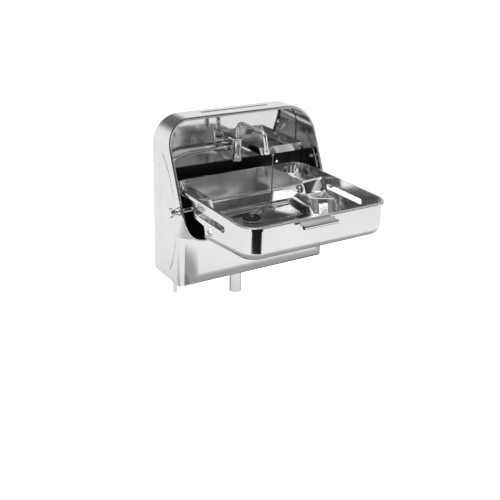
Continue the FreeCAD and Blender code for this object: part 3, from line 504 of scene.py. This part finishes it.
def camera_axes(stage):
    """The camera's right, up and back directions from its azimuth, elevation and roll."""
    azimuth = math.radians(stage.azimuth)
    elevation = math.radians(stage.elevation)
    roll = math.radians(stage.roll)
    back = Vector((math.sin(azimuth) * math.cos(elevation), -math.cos(azimuth) * math.cos(elevation),
                   math.sin(elevation)))
    right = Vector((0, 0, 1)).cross(back).normalized()
    up = back.cross(right)
    turned_right = math.cos(roll) * right + math.sin(roll) * up
    turned_up = math.cos(roll) * up - math.sin(roll) * right
    return turned_right, turned_up, back


def grey_ramp(tree, stops):
    """A smooth grey ramp from (place, brightness) stops."""
    ramp = tree.nodes.new("ShaderNodeValToRGB")
    ramp.color_ramp.interpolation = "EASE"
    for spot, grey in stops[1:-1]:
        ramp.color_ramp.elements.new(spot).color = (grey, grey, grey, 1)
    ramp.color_ramp.elements[0].color = (stops[0][1],) * 3 + (1,)
    ramp.color_ramp.elements[-1].color = (stops[-1][1],) * 3 + (1,)
    return ramp


def studio_light():
    """The world: white to the camera alone, and to other rays pale below and darker above the horizon.

    The grey follows the height looked at, by one ramp behind the sink and by a darker one before it.
    """
    world = bpy.data.worlds.new("Soft studio")
    bpy.context.scene.world = world
    world.use_nodes = True
    tree = world.node_tree
    add = tree.nodes.new
    link = tree.links.new
    look = add("ShaderNodeTexCoord")
    split = add("ShaderNodeSeparateXYZ")
    link(look.outputs["Generated"], split.inputs[0])
    height = math_node(tree, "MULTIPLY_ADD", split.outputs["Z"], 0.5, 0.5)
    behind = grey_ramp(tree, BEHIND_STOPS)
    before = grey_ramp(tree, BEFORE_STOPS)
    link(height, behind.inputs["Fac"])
    link(height, before.inputs["Fac"])
    ahead = add("ShaderNodeMapRange")
    ahead.interpolation_type = "SMOOTHSTEP"
    ahead.inputs["From Min"].default_value = FRONT_BLEND
    ahead.inputs["From Max"].default_value = -FRONT_BLEND
    link(split.outputs["Y"], ahead.inputs["Value"])
    around = add("ShaderNodeMix")
    around.data_type = "RGBA"
    link(ahead.outputs["Result"], around.inputs["Factor"])
    link(behind.outputs["Color"], around.inputs["A"])
    link(before.outputs["Color"], around.inputs["B"])
    seen = add("ShaderNodeLightPath")
    mix = add("ShaderNodeMix")
    mix.data_type = "RGBA"
    mix.inputs["B"].default_value = (1, 1, 1, 1)
    link(seen.outputs["Is Camera Ray"], mix.inputs["Factor"])
    link(around.outputs["Result"], mix.inputs["A"])
    link(mix.outputs["Result"], tree.nodes["Background"].inputs["Color"])


def soft_lamp(name, spot, width, height, power):
    """A soft area lamp turned to the sink."""
    lamp = bpy.data.lights.new(name, "AREA")
    lamp.shape = "RECTANGLE"
    lamp.size = width
    lamp.size_y = height
    lamp.energy = power
    aim = Vector(LAMP_TARGET) - Vector(spot)
    turn = aim.to_track_quat("-Z", "Y").to_matrix().to_4x4()
    new_object(name, lamp).matrix_world = Matrix.Translation(spot) @ turn


def dark_card(name, corner, along, upward, tone):
    """A dark studio card that only reflections show."""
    mesh = bpy.data.meshes.new(name)
    corner, along, upward = (np.array(part, float) for part in (corner, along, upward))
    mesh.from_pydata([corner, corner + along, corner + along + upward, corner + upward], [], [(0, 1, 2, 3)])
    card = new_object(name, mesh)
    paint, shader = new_material(name)
    shader.inputs["Base Color"].default_value = (tone, tone, tone, 1)
    shader.inputs["Roughness"].default_value = 1.0
    mesh.materials.append(paint)
    card.visible_camera = False
    card.visible_shadow = False
    card.visible_diffuse = False


class SINK_OT_stage(bpy.types.Operator):
    """Sets the camera, the floor, the lamps and the dark cards"""
    bl_idname = "sink.stage"
    bl_label = "Stage"

    def execute(self, context):
        stage = context.scene.sink_stage
        right, up, back = camera_axes(stage)
        lens = bpy.data.cameras.new("Camera")
        lens.sensor_width = FILM_WIDTH
        lens.lens = stage.focal
        lens.shift_y = stage.shift
        lens.clip_end = FARTHEST_SEEN
        camera = new_object("Camera", lens)
        turn = Matrix((right, up, back)).transposed().to_4x4()
        camera.matrix_world = Matrix.Translation(stage.camera) @ turn
        context.scene.camera = camera
        studio_light()
        self.floor(stage)
        for card in CARDS:
            dark_card(*card)
        for lamp in LAMPS:
            soft_lamp(*lamp)
        context.scene.view_settings.view_transform = "Standard"
        return {"FINISHED"}

    def floor(self, stage):
        """A wide flat floor that is white to the camera, and to every other ray dimmer near the sink, a
        painted shade under the sink.
        """
        reach = FLOOR_REACH
        low = -stage.floor_drop
        corners = [(-reach, -reach, low), (reach, -reach, low), (reach, reach, low), (-reach, reach, low)]
        mesh = bpy.data.meshes.new("floor")
        mesh.from_pydata(corners, [], [(0, 1, 2, 3)])
        floor = new_object("floor", mesh)
        paint, shader = new_material("pale floor")
        tree = paint.node_tree
        shader.inputs["Roughness"].default_value = FLOOR_ROUGHNESS
        shader.inputs["Emission Color"].default_value = (1, 1, 1, 1)
        add = tree.nodes.new
        link = tree.links.new
        spot = add("ShaderNodeNewGeometry")
        split = add("ShaderNodeVectorMath")
        split.operation = "MULTIPLY"
        split.inputs[1].default_value = (1, 1, 0)
        link(spot.outputs["Position"], split.inputs[0])
        away = add("ShaderNodeVectorMath")
        away.operation = "LENGTH"
        link(split.outputs["Vector"], away.inputs[0])
        # Painted shade: every ray but the camera's sees the floor darker towards the sink.
        fade = add("ShaderNodeMapRange")
        fade.interpolation_type = "SMOOTHSTEP"
        fade.inputs["From Min"].default_value = stage.painted_shade_reach
        fade.inputs["From Max"].default_value = stage.light_reach
        fade.inputs["To Min"].default_value = stage.painted_shade_share
        link(away.outputs["Value"], fade.inputs["Value"])
        seen = add("ShaderNodeLightPath")
        shade = math_node(tree, "MAXIMUM", seen.outputs["Is Camera Ray"], fade.outputs["Result"])
        tone = add("ShaderNodeVectorMath")
        tone.operation = "SCALE"
        tone.inputs[0].default_value = stage.floor
        link(shade, tone.inputs["Scale"])
        link(tone.outputs["Vector"], shader.inputs["Base Color"])
        direct = math_node(tree, "MULTIPLY", seen.outputs["Is Camera Ray"], stage.floor_glow)
        mirrored = math_node(tree, "MULTIPLY_ADD", seen.outputs["Is Glossy Ray"], stage.mirror_glow, direct)
        link(math_node(tree, "MULTIPLY", mirrored, shade), shader.inputs["Emission Strength"])
        mesh.materials.append(paint)


# ---- Ball chain ------------------------------------------------------------------------------

CHAIN_SIDE = 73.0
CHAIN_DEPTH = 82.0
CHAIN_FLOOR = 139.1
CHAIN_HANG_END = 26.0
CHAIN_FOOT_STEP = 6.0
LOOP_SIDE = 49.0
LOOP_DEPTH = 106.0
LOOP_RADIUS = 15.0
LOOP_POINTS = 9
LOOP_START = 50.0
LOOP_SWEEP = 400.0
LOOP_RISE = 4.8
RINGS_PER_BALL = 8
LEAVE_SHARE = 0.4
ARRIVE_SHARE = 0.75
ROUTE_STEPS = 24


def chain_route():
    """The chain's control points: down from the tray, round a loop on the bowl's floor, to the plug's eye."""
    start = at(CHAIN_SIDE, CHAIN_DEPTH, 0)
    start[2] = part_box("chain_drop")[1].z
    z = CHAIN_FLOOR
    points = [start, at(CHAIN_SIDE, CHAIN_DEPTH, z + CHAIN_HANG_END),
              at(CHAIN_SIDE, CHAIN_DEPTH, z + CHAIN_HANG_END / 3),
              at(CHAIN_SIDE - CHAIN_FOOT_STEP, CHAIN_DEPTH + CHAIN_FOOT_STEP, z)]
    for i in range(LOOP_POINTS):
        share = i / (LOOP_POINTS - 1)
        angle = math.radians(LOOP_START + LOOP_SWEEP * share)
        points.append(at(LOOP_SIDE + LOOP_RADIUS * math.cos(angle),
                         LOOP_DEPTH - LOOP_RADIUS * math.sin(angle),
                         z + LOOP_RISE * max(share - 0.5, 0) * 2))
    low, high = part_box("plug_eye")
    ball = bpy.context.scene.sink_sizes.ball_radius
    last = np.array([high.x + ball, (low.y + high.y) / 2, (low.z + high.z) / 2])
    leave = points[-1]
    sag = np.array([0, 0, ball])
    points.append(leave + (last - leave) * LEAVE_SHARE - sag)
    points.append(leave + (last - leave) * ARRIVE_SHARE + sag)
    return points + [last]


def spline_line(points):
    """Points read from a smooth spline whose control points are given, through a curve with no bevel."""
    curve = bpy.data.curves.new("route", "CURVE")
    curve.dimensions = "3D"
    curve.resolution_u = ROUTE_STEPS
    spline = curve.splines.new("NURBS")
    spline.points.add(len(points) - 1)
    for spot, point in zip(spline.points, points):
        spot.co = (*point, 1)
    spline.order_u = 3
    spline.use_endpoint_u = True
    holder = bpy.data.objects.new("route", curve)
    line = bpy.data.meshes.new_from_object(holder)
    found = np.zeros(len(line.vertices) * 3)
    line.vertices.foreach_get("co", found)
    bpy.data.objects.remove(holder)
    bpy.data.curves.remove(curve)
    bpy.data.meshes.remove(line)
    return found.reshape(-1, 3)


def even_line(line, step):
    """The same line with points an even step apart."""
    gap = np.linalg.norm(np.diff(line, axis=0), axis=1)
    reach = np.concatenate([[0], np.cumsum(gap)])
    spots = np.linspace(0, reach[-1], int(reach[-1] / step) + 1)
    return np.stack([np.interp(spots, reach, line[:, k]) for k in range(3)], 1), spots


class SINK_OT_chain(bpy.types.Operator):
    """Makes the ball chain from the soap tray to the plug"""
    bl_idname = "sink.chain"
    bl_label = "Ball chain"

    def execute(self, context):
        sizes = context.scene.sink_sizes
        line, spots = even_line(spline_line(chain_route()), sizes.ball_pitch / RINGS_PER_BALL)
        along = (spots / sizes.ball_pitch) % 1.0 - 0.5
        ball = np.sqrt(np.maximum(sizes.ball_radius ** 2 - (along * sizes.ball_pitch) ** 2, 0))
        radius = np.maximum(ball, sizes.link_radius)
        links = metal("chain links", context.scene.sink_finish.chain, 0.15, 0.05, 0.01)
        chain = swept("ball_chain", line, radius, links, segments=12, sharp=80)
        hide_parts("chain_drop", "chain_lead")
        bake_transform(chain)
        return {"FINISHED"}


# ---- Pieces that keep the CAD's shape --------------------------------------------------------

SHEETS = {
    "pressed_housing": "housing_shell",
    # The wall plate takes the dark_coat slot, a painted shade.
    "wall_plate": "back_plate",
    "polished_panel": "mirror_panel",
    "pressed_bowl": "bowl_shell",
    "turned_rim": "bowl_rim",
    "folded_tray": "soap_tray",
    "pull_sheet": "pull_plate",
    "arm": "tap_arm",
    "union_nut": "feed_nut",
    "left_stay_plate": "stud_plate_left",
    "right_stay_plate": "stud_plate_right",
    "left_slot_lip": "slot_lip_left",
    "right_slot_lip": "slot_lip_right",
    "rivets": "tray_rivets",
    "eye": "plug_eye",
    "clamp_nut": "waste_nut",
    "left_spacer": "pivot_spacer_left",
    "right_spacer": "pivot_spacer_right",
    "left_bush": "pivot_bush_left",
    "right_bush": "pivot_bush_right",
}


class SINK_OT_sheets(bpy.types.Operator):
    """Makes the pieces that keep the CAD's shape: the housing, the bowl, the tray and small fittings"""
    bl_idname = "sink.sheets"
    bl_label = "Sheet metal"

    def execute(self, context):
        for name, node in SHEETS.items():
            slot = slot_of_node(node)
            place(smooth_copy(name, node, finish_of(slot)), body_of_node(node), slot, node)
        return {"FINISHED"}


# ---- Turned and bent fittings ----------------------------------------------------------------

def core(node, axis, sign=1):
    """A round node's start along an axis and its direction, then its length and largest radius in mm."""
    low, high = (np.array(corner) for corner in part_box(node))
    start = (low + high) / 2
    start[axis] = low[axis] if sign > 0 else high[axis]
    direction = np.zeros(3)
    direction[axis] = sign
    size = (high - low) / MM
    return start, direction, size[axis], max(np.delete(size, axis)) / 2


def dome_profile(base, radius, height, steps=10):
    """A quarter-round rise from the rim of a disc to its middle."""
    angle = np.linspace(0, math.pi / 2, steps)
    return [(base + height * math.sin(a), radius * math.cos(a)) for a in angle]


def fitted(name, node, profile, axis, sign=1, **ways):
    """A lathe piece over a round node's own axis, which takes its body and slot."""
    start, direction, _, _ = core(node, axis, sign)
    slot = slot_of_node(node)
    piece = turned(name, start, direction, np.array(profile, float), finish_of(slot), **ways)
    return place(piece, body_of_node(node), slot, node)


def ring_profile(length, outer, inner, ease):
    """A tube's wall as a closed round: out along the outside, in at the mouth and back along the bore."""
    return [(0, inner), (0, outer - ease), (ease, outer), (length - ease, outer), (length, outer - ease),
            (length, inner), (0, inner)]


TAP_SIDE = -2.5
TAP_DEPTH = 46.0
SPOUT_LOW = 261.0
SPOUT_CREST = 340.0
SPOUT_FALL = 8.0
SPOUT_REACH = 96.0
SPOUT_BEND = 17.0
SPOUT_TURN = 12.0
SPOUT_MOUTH = 286.0
MOUTH_BEND_SHARE = 0.7
MOUTH_PROUD = 1.0
PIPE_SIDE = -172.0
PIPE_DEPTH = 60.0
PIPE_STUB = 40.0
PIPE_BACK = 25.0
PIPE_KINK_LOW = 41.0
PIPE_KINK_HIGH = 111.0
PIPE_KINK_STEP = 4.0
PIPE_TURN_HEIGHT = 260.0
PIPE_TURN_REACH = 54.0
PIPE_END_GAP = 13.0
PIPE_BENDS = [30, 30, 34, 34]
ARM_HEIGHT = 278.0
RISER_RADIUS = 5.2
RISER_WALL = 1.0
SPOUT_PLAY = 0.4
PIPE_RADIUS = 4.0
PIPE_WALL = 0.8


def spout_route():
    """The spout's bends: up from the body, forward and a little down, and down to the mouth."""
    ahead = math.radians(SPOUT_TURN)
    bend = SPOUT_REACH - SPOUT_BEND / 2
    points = [at(TAP_SIDE, TAP_DEPTH, SPOUT_LOW), at(TAP_SIDE, TAP_DEPTH, SPOUT_CREST)]
    for reach, height in ((bend, SPOUT_CREST - SPOUT_FALL), (SPOUT_REACH, SPOUT_MOUTH)):
        points.append(at(TAP_SIDE + reach * math.sin(ahead), TAP_DEPTH + reach * math.cos(ahead), height))
    return bent_route(points, [SPOUT_BEND, SPOUT_BEND * MOUTH_BEND_SHARE])


def pipe_route():
    """The water pipe's bends: up the left side, back to the panel and across to the union nut."""
    points = [at(PIPE_SIDE, PIPE_DEPTH, -PIPE_STUB), at(PIPE_SIDE, PIPE_DEPTH, PIPE_KINK_LOW),
              at(PIPE_SIDE + PIPE_KINK_STEP, PIPE_BACK, PIPE_KINK_HIGH),
              at(PIPE_SIDE + PIPE_KINK_STEP, PIPE_BACK, PIPE_TURN_HEIGHT),
              at(PIPE_SIDE + PIPE_TURN_REACH, PIPE_BACK, ARM_HEIGHT),
              at(TAP_SIDE - PIPE_END_GAP, PIPE_BACK, ARM_HEIGHT)]
    return bent_route(points, PIPE_BENDS)


class SINK_OT_tap(bpy.types.Operator):
    """Makes the tap, its spout and the water pipe"""
    bl_idname = "sink.tap"
    bl_label = "Tap"

    def execute(self, context):
        sizes = context.scene.sink_sizes
        chrome = finish_of("bright_chrome")
        spout = swept("bent_spout", spout_route(), RISER_RADIUS * MM, chrome,
                      bore=(RISER_RADIUS - RISER_WALL) * MM)
        place(spout, "spout", "bright_chrome", "spout")
        pipe = swept("water_pipe", pipe_route(), PIPE_RADIUS * MM, chrome,
                     bore=(PIPE_RADIUS - PIPE_WALL) * MM)
        place(pipe, "housing", "bright_chrome", "feed_pipe")
        _, _, length, radius = core("tap_body", 2)
        bore = RISER_RADIUS + SPOUT_PLAY
        top = length - SPOUT_PLAY / 2
        body = rounded([(0, bore), (0, radius - 1.2), (1.2, radius - 0.2), (length * 0.5, radius - 0.5),
                        (length - 5, radius - 0.2), (length - 4.2, radius - 1.3),
                        (length - 3.4, radius - 0.1), (top, radius - 0.6), (top, bore), (0, bore)], 0.5)
        fitted("valve_body", "tap_body", body, 2)
        _, _, length, radius = core("tap_foot", 2)
        foot = rounded([(0, 0), (0, radius - 1.2), (1.0, radius), (length, radius), (length, 0)], 0.4)
        fitted("ribbed_foot", "tap_foot", foot, 2, segments=sizes.foot_ribs * 6, ribs=sizes.foot_ribs,
               rib_depth=0.5)
        _, _, length, radius = core("tap_cap", 2)
        cap = rounded([(0, RISER_RADIUS), (0, radius), (length - 0.9, radius), (length, radius - 1.4),
                       (length, RISER_RADIUS), (0, RISER_RADIUS)], 0.4)
        fitted("ribbed_cap", "tap_cap", cap, 2, segments=sizes.cap_ribs * 8, ribs=sizes.cap_ribs,
               rib_depth=0.8)
        _, _, length, radius = core("tap_flange", 1, -1)
        flange = rounded([(0, 0), (0, radius), (length * 0.4, radius), (length, radius - 3.0),
                          (length, 0)], 0.8)
        fitted("wall_flange", "tap_flange", flange, 1, -1)
        self.mouth_sleeve()
        return {"FINISHED"}

    def mouth_sleeve(self):
        """The sleeve on the spout's mouth, in line with its last run, with a groove round it."""
        line = spout_route()
        along = line[-2] - line[-1]
        along /= np.linalg.norm(along)
        start = line[-1] - along * MOUTH_PROUD * MM
        profile = rounded([(0, RISER_RADIUS), (0, 6.6), (0.8, 7.2), (9.0, 7.2), (9.6, 6.6), (10.4, 6.6),
                           (11.0, 7.1), (13.2, 7.1), (14.0, 6.2), (14.0, RISER_RADIUS),
                           (0, RISER_RADIUS)], 0.3)
        sleeve = turned("mouth_sleeve", start, along, profile, finish_of("bright_chrome"))
        place(sleeve, "spout", "bright_chrome", "nozzle")


KNOB_LENGTH = 25.0
SCREW_HEAD = 2.8
SCREW_SHANK = 2.0


class SINK_OT_pivots(bpy.types.Operator):
    """Makes the knobs, domed nuts, stay nuts and panel screws on both sides"""
    bl_idname = "sink.pivots"
    bl_label = "Pivots"

    def execute(self, context):
        for side, word in ((-1, "left"), (1, "right")):
            _, _, length, radius = core("pivot_knob_" + word, 0, side)
            face = length - KNOB_LENGTH
            knob = [(0, 0), (0, 5.0), (face, 5.0), (face, 9.0), (face + 0.7, 9.5), (face + 3.2, 9.5),
                    (face + 4.2, 8.6), (face + 7.5, 6.6), (face + 12.0, 6.2), (face + 15.8, 7.4),
                    (face + 17.4, radius - 1.0), (face + 18.2, radius), (length - 1.6, radius),
                    (length - 0.3, radius - 1.4), (length, radius - 3.4), (length, 0)]
            fitted("grip_knob_" + word, "pivot_knob_" + word, rounded(knob, 1.2), 0, side)
            _, _, length, radius = core("pivot_dome_" + word, 0, -side)
            nut = [(0, 0), (0, radius - 0.4), (0.5, radius)] + dome_profile(1.0, radius - 0.2, length - 1.0)
            fitted("domed_nut_" + word, "pivot_dome_" + word, nut, 0, -side)
            _, _, length, radius = core("stud_nut_" + word, 0, side)
            stud = [(0, 0), (0, radius - 0.4), (0.4, radius), (1.0, radius - 0.3), (1.0, radius - 1.7)]
            stud += dome_profile(1.3, radius - 2.1, length - 1.3)
            fitted("stay_nut_" + word, "stud_nut_" + word, stud, 0, side)
            screw = "panel_screw_" + word
            fitted("screw_" + word, screw, self.screw(screw), 1, -1, segments=32)
        return {"FINISHED"}

    def screw(self, node):
        """A shank and a low domed head with a small driven recess."""
        _, _, length, radius = core(node, 1, -1)
        face = length - SCREW_HEAD
        profile = [(0, 0), (0, SCREW_SHANK), (face, SCREW_SHANK), (face, radius)]
        profile += dome_profile(face, radius, SCREW_HEAD)[1:-3]
        return profile + [(length - 0.25, 1.6), (length - 1.1, 1.3), (length - 1.1, 0)]


WASTE_BORE = 13.0
WASTE_TAIL = 14.7
THREAD_TURNS = 9
THREAD_PITCH = 1.4
SPIGOT_BORE = 12.6
SPIGOT_PIPE = 13.8
SPIGOT_NECK = 13.4
NECK_LOW = 61.0
NECK_HIGH = 64.0


class SINK_OT_waste(bpy.types.Operator):
    """Makes the waste ring, the plug, the spigot, the pipe's tail, the chain's stud and the pull's roll"""
    bl_idname = "sink.waste"
    bl_label = "Waste"

    def execute(self, context):
        _, _, length, radius = core("waste_flange", 2)
        bore, tail = WASTE_BORE, WASTE_TAIL
        flange = [(0, bore), (0, tail)]
        for step in range(THREAD_TURNS):
            turn = step * THREAD_PITCH
            flange += [(0.8 + turn, tail), (1.2 + turn, tail - 0.7), (1.6 + turn, tail)]
        flange += [(length - 1.2, tail), (length - 1.2, radius), (length - 0.8, radius),
                   (length - 0.15, radius - 1.2), (length, radius - 2.5), (length, bore + 2.0),
                   (length - 1.2, bore), (0, bore)]
        fitted("waste_ring", "waste_flange", flange, 2, sharp=50)
        _, _, length, radius = core("plug", 2)
        plug = [(0, 0), (0, 11.0), (0.8, 11.8), (5.0, 12.6), (5.0, radius - 0.6), (5.6, radius),
                (7.6, radius), (length - 0.3, radius - 1.0), (length, radius - 2.2),
                (length - 0.5, radius - 3.6), (length - 1.1, radius - 4.6), (length - 1.1, 6.0),
                (length - 0.3, 5.0), (length, 4.0), (length, 0)]
        fitted("stopper", "plug", rounded(plug, 0.6), 2)
        _, _, length, radius = core("waste_spigot", 2)
        bore, pipe, neck = SPIGOT_BORE, SPIGOT_PIPE, SPIGOT_NECK
        spigot = [(0, bore), (0, pipe - 0.5), (0.6, pipe), (NECK_LOW, pipe), (NECK_LOW, neck),
                  (NECK_HIGH, neck), (NECK_HIGH, radius), (length, radius - 0.4), (length, bore), (0, bore)]
        fitted("outlet_pipe", "waste_spigot", spigot, 2)
        _, _, length, radius = core("supply_tail", 2)
        fitted("pipe_tail", "supply_tail", ring_profile(length, radius, PIPE_RADIUS, 0.3), 2, segments=40)
        _, _, length, radius = core("chain_anchor", 2)
        stud = rounded([(0, 0), (0, radius), (length, radius), (length, 0)], 0.8)
        fitted("chain_stud", "chain_anchor", stud, 2, segments=32)
        _, _, length, radius = core("pull_roll", 0)
        fitted("rolled_edge", "pull_roll", ring_profile(length, radius, radius - 1.0, 0.3), 0, segments=40)
        return {"FINISHED"}


OPENING_HALF = 188.0
OPENING_SILL = 113.0
OPENING_TOP = 362.1
SILL_RADIUS = 50.0
ARCH_RADIUS = 57.5
HOUSING_DEPTH = 147.5
SHOULDER_HEIGHT = 152.0
FRONT_SLOPE = 92.0 / 214.6
HEM_SINK = 0.4
HEM_SEGMENTS = 20
CORNER_POINTS = 24


def opening_line(step=2.5):
    """A loop over the housing's front: a rounded oblong in the front view, laid on the slanting front.

    At the lower corners it stands off the housing's own edge, by up to 8.4 mm.
    """
    centres = [(OPENING_HALF - SILL_RADIUS, OPENING_SILL + SILL_RADIUS, SILL_RADIUS, -0.25),
               (OPENING_HALF - ARCH_RADIUS, OPENING_TOP - ARCH_RADIUS, ARCH_RADIUS, 0.0),
               (ARCH_RADIUS - OPENING_HALF, OPENING_TOP - ARCH_RADIUS, ARCH_RADIUS, 0.25),
               (SILL_RADIUS - OPENING_HALF, OPENING_SILL + SILL_RADIUS, SILL_RADIUS, 0.5)]
    corners = []
    for side, height, radius, start in centres:
        angle = (start + np.linspace(0, 0.25, CORNER_POINTS)) * FULL_TURN
        corners.append(np.stack([side + radius * np.cos(angle), height + radius * np.sin(angle)], 1))
    loop = np.concatenate(corners + [corners[0][:1]])
    flat, _ = even_line(np.column_stack([loop, np.zeros(len(loop))]), step)
    depth = HOUSING_DEPTH - np.maximum(flat[:, 1] - SHOULDER_HEIGHT, 0) * FRONT_SLOPE
    return np.column_stack([flat[:, 0] * MM, -depth * MM, flat[:, 1] * MM + FOOT])[:-1]


class SINK_OT_trim(bpy.types.Operator):
    """Makes the rolled edge round the housing's opening"""
    bl_idname = "sink.trim"
    bl_label = "Rolled edge"

    def execute(self, context):
        line = opening_line()
        ahead = np.roll(line, -1, 0) - np.roll(line, 1, 0)
        ahead /= np.linalg.norm(ahead, axis=1)[:, None]
        outward = np.array([0.0, -1.0, 0.0])
        first = np.cross(ahead, outward)
        first /= np.linalg.norm(first, axis=1)[:, None]
        second = np.cross(ahead, first)
        radius = context.scene.sink_sizes.hem_radius
        angle = np.linspace(0, FULL_TURN, HEM_SEGMENTS, endpoint=False)
        middle = line + second * HEM_SINK * radius * np.sign((second @ outward) * -1)[:, None]
        spokes = (np.cos(angle)[None, :, None] * first[:, None]
                  + np.sin(angle)[None, :, None] * second[:, None])
        points = middle[:, None] + radius * spokes
        hem = surface("opening_hem", points, finish_of("polished_steel"), wrap_rows=True)
        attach(hem, "housing")
        return {"FINISHED"}


class SINK_OT_nodes(bpy.types.Operator):
    """Gives every CAD node that stays in view its own finish"""
    bl_idname = "sink.nodes"
    bl_label = "Finishes"

    def execute(self, context):
        for row in frame["record"]["subparts"]:
            node = NODES[row["node"]]
            node.data.materials.clear()
            node.data.materials.append(finish_of(row["material_slot"]))
        return {"FINISHED"}


# ---- Panel and registration ------------------------------------------------------------------

class SINK_PT_panel(bpy.types.Panel):
    """Lists the sink's operators in the sidebar"""
    bl_idname = "SINK_PT_panel"
    bl_label = "Hand Wash Sink"
    bl_space_type = "VIEW_3D"
    bl_region_type = "UI"
    bl_category = "Hand Wash Sink"

    def draw(self, context):
        for maker in MAKERS:
            self.layout.operator(maker.bl_idname)


MAKERS = (SINK_OT_stage, SINK_OT_nodes, SINK_OT_sheets, SINK_OT_tap, SINK_OT_pivots, SINK_OT_waste,
          SINK_OT_trim, SINK_OT_chain)
GROUPS = (SinkFinish, SinkSizes, SinkStage)


def register():
    """Registers the classes and hangs the sizes and colours on the scene."""
    for kind in GROUPS + MAKERS + (SINK_PT_panel,):
        bpy.utils.register_class(kind)
    bpy.types.Scene.sink_finish = PointerProperty(type=SinkFinish)
    bpy.types.Scene.sink_sizes = PointerProperty(type=SinkSizes)
    bpy.types.Scene.sink_stage = PointerProperty(type=SinkStage)


def unregister():
    """Takes the sizes, colours and classes off again."""
    del bpy.types.Scene.sink_finish
    del bpy.types.Scene.sink_sizes
    del bpy.types.Scene.sink_stage
    for kind in reversed(GROUPS + MAKERS + (SINK_PT_panel,)):
        bpy.utils.unregister_class(kind)


def main():
    """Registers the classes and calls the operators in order."""
    register()
    bpy.ops.sink.stage()
    bpy.ops.sink.nodes()
    bpy.ops.sink.sheets()
    bpy.ops.sink.tap()
    bpy.ops.sink.pivots()
    bpy.ops.sink.waste()
    bpy.ops.sink.trim()
    bpy.ops.sink.chain()


if __name__ == "__main__":
    main()
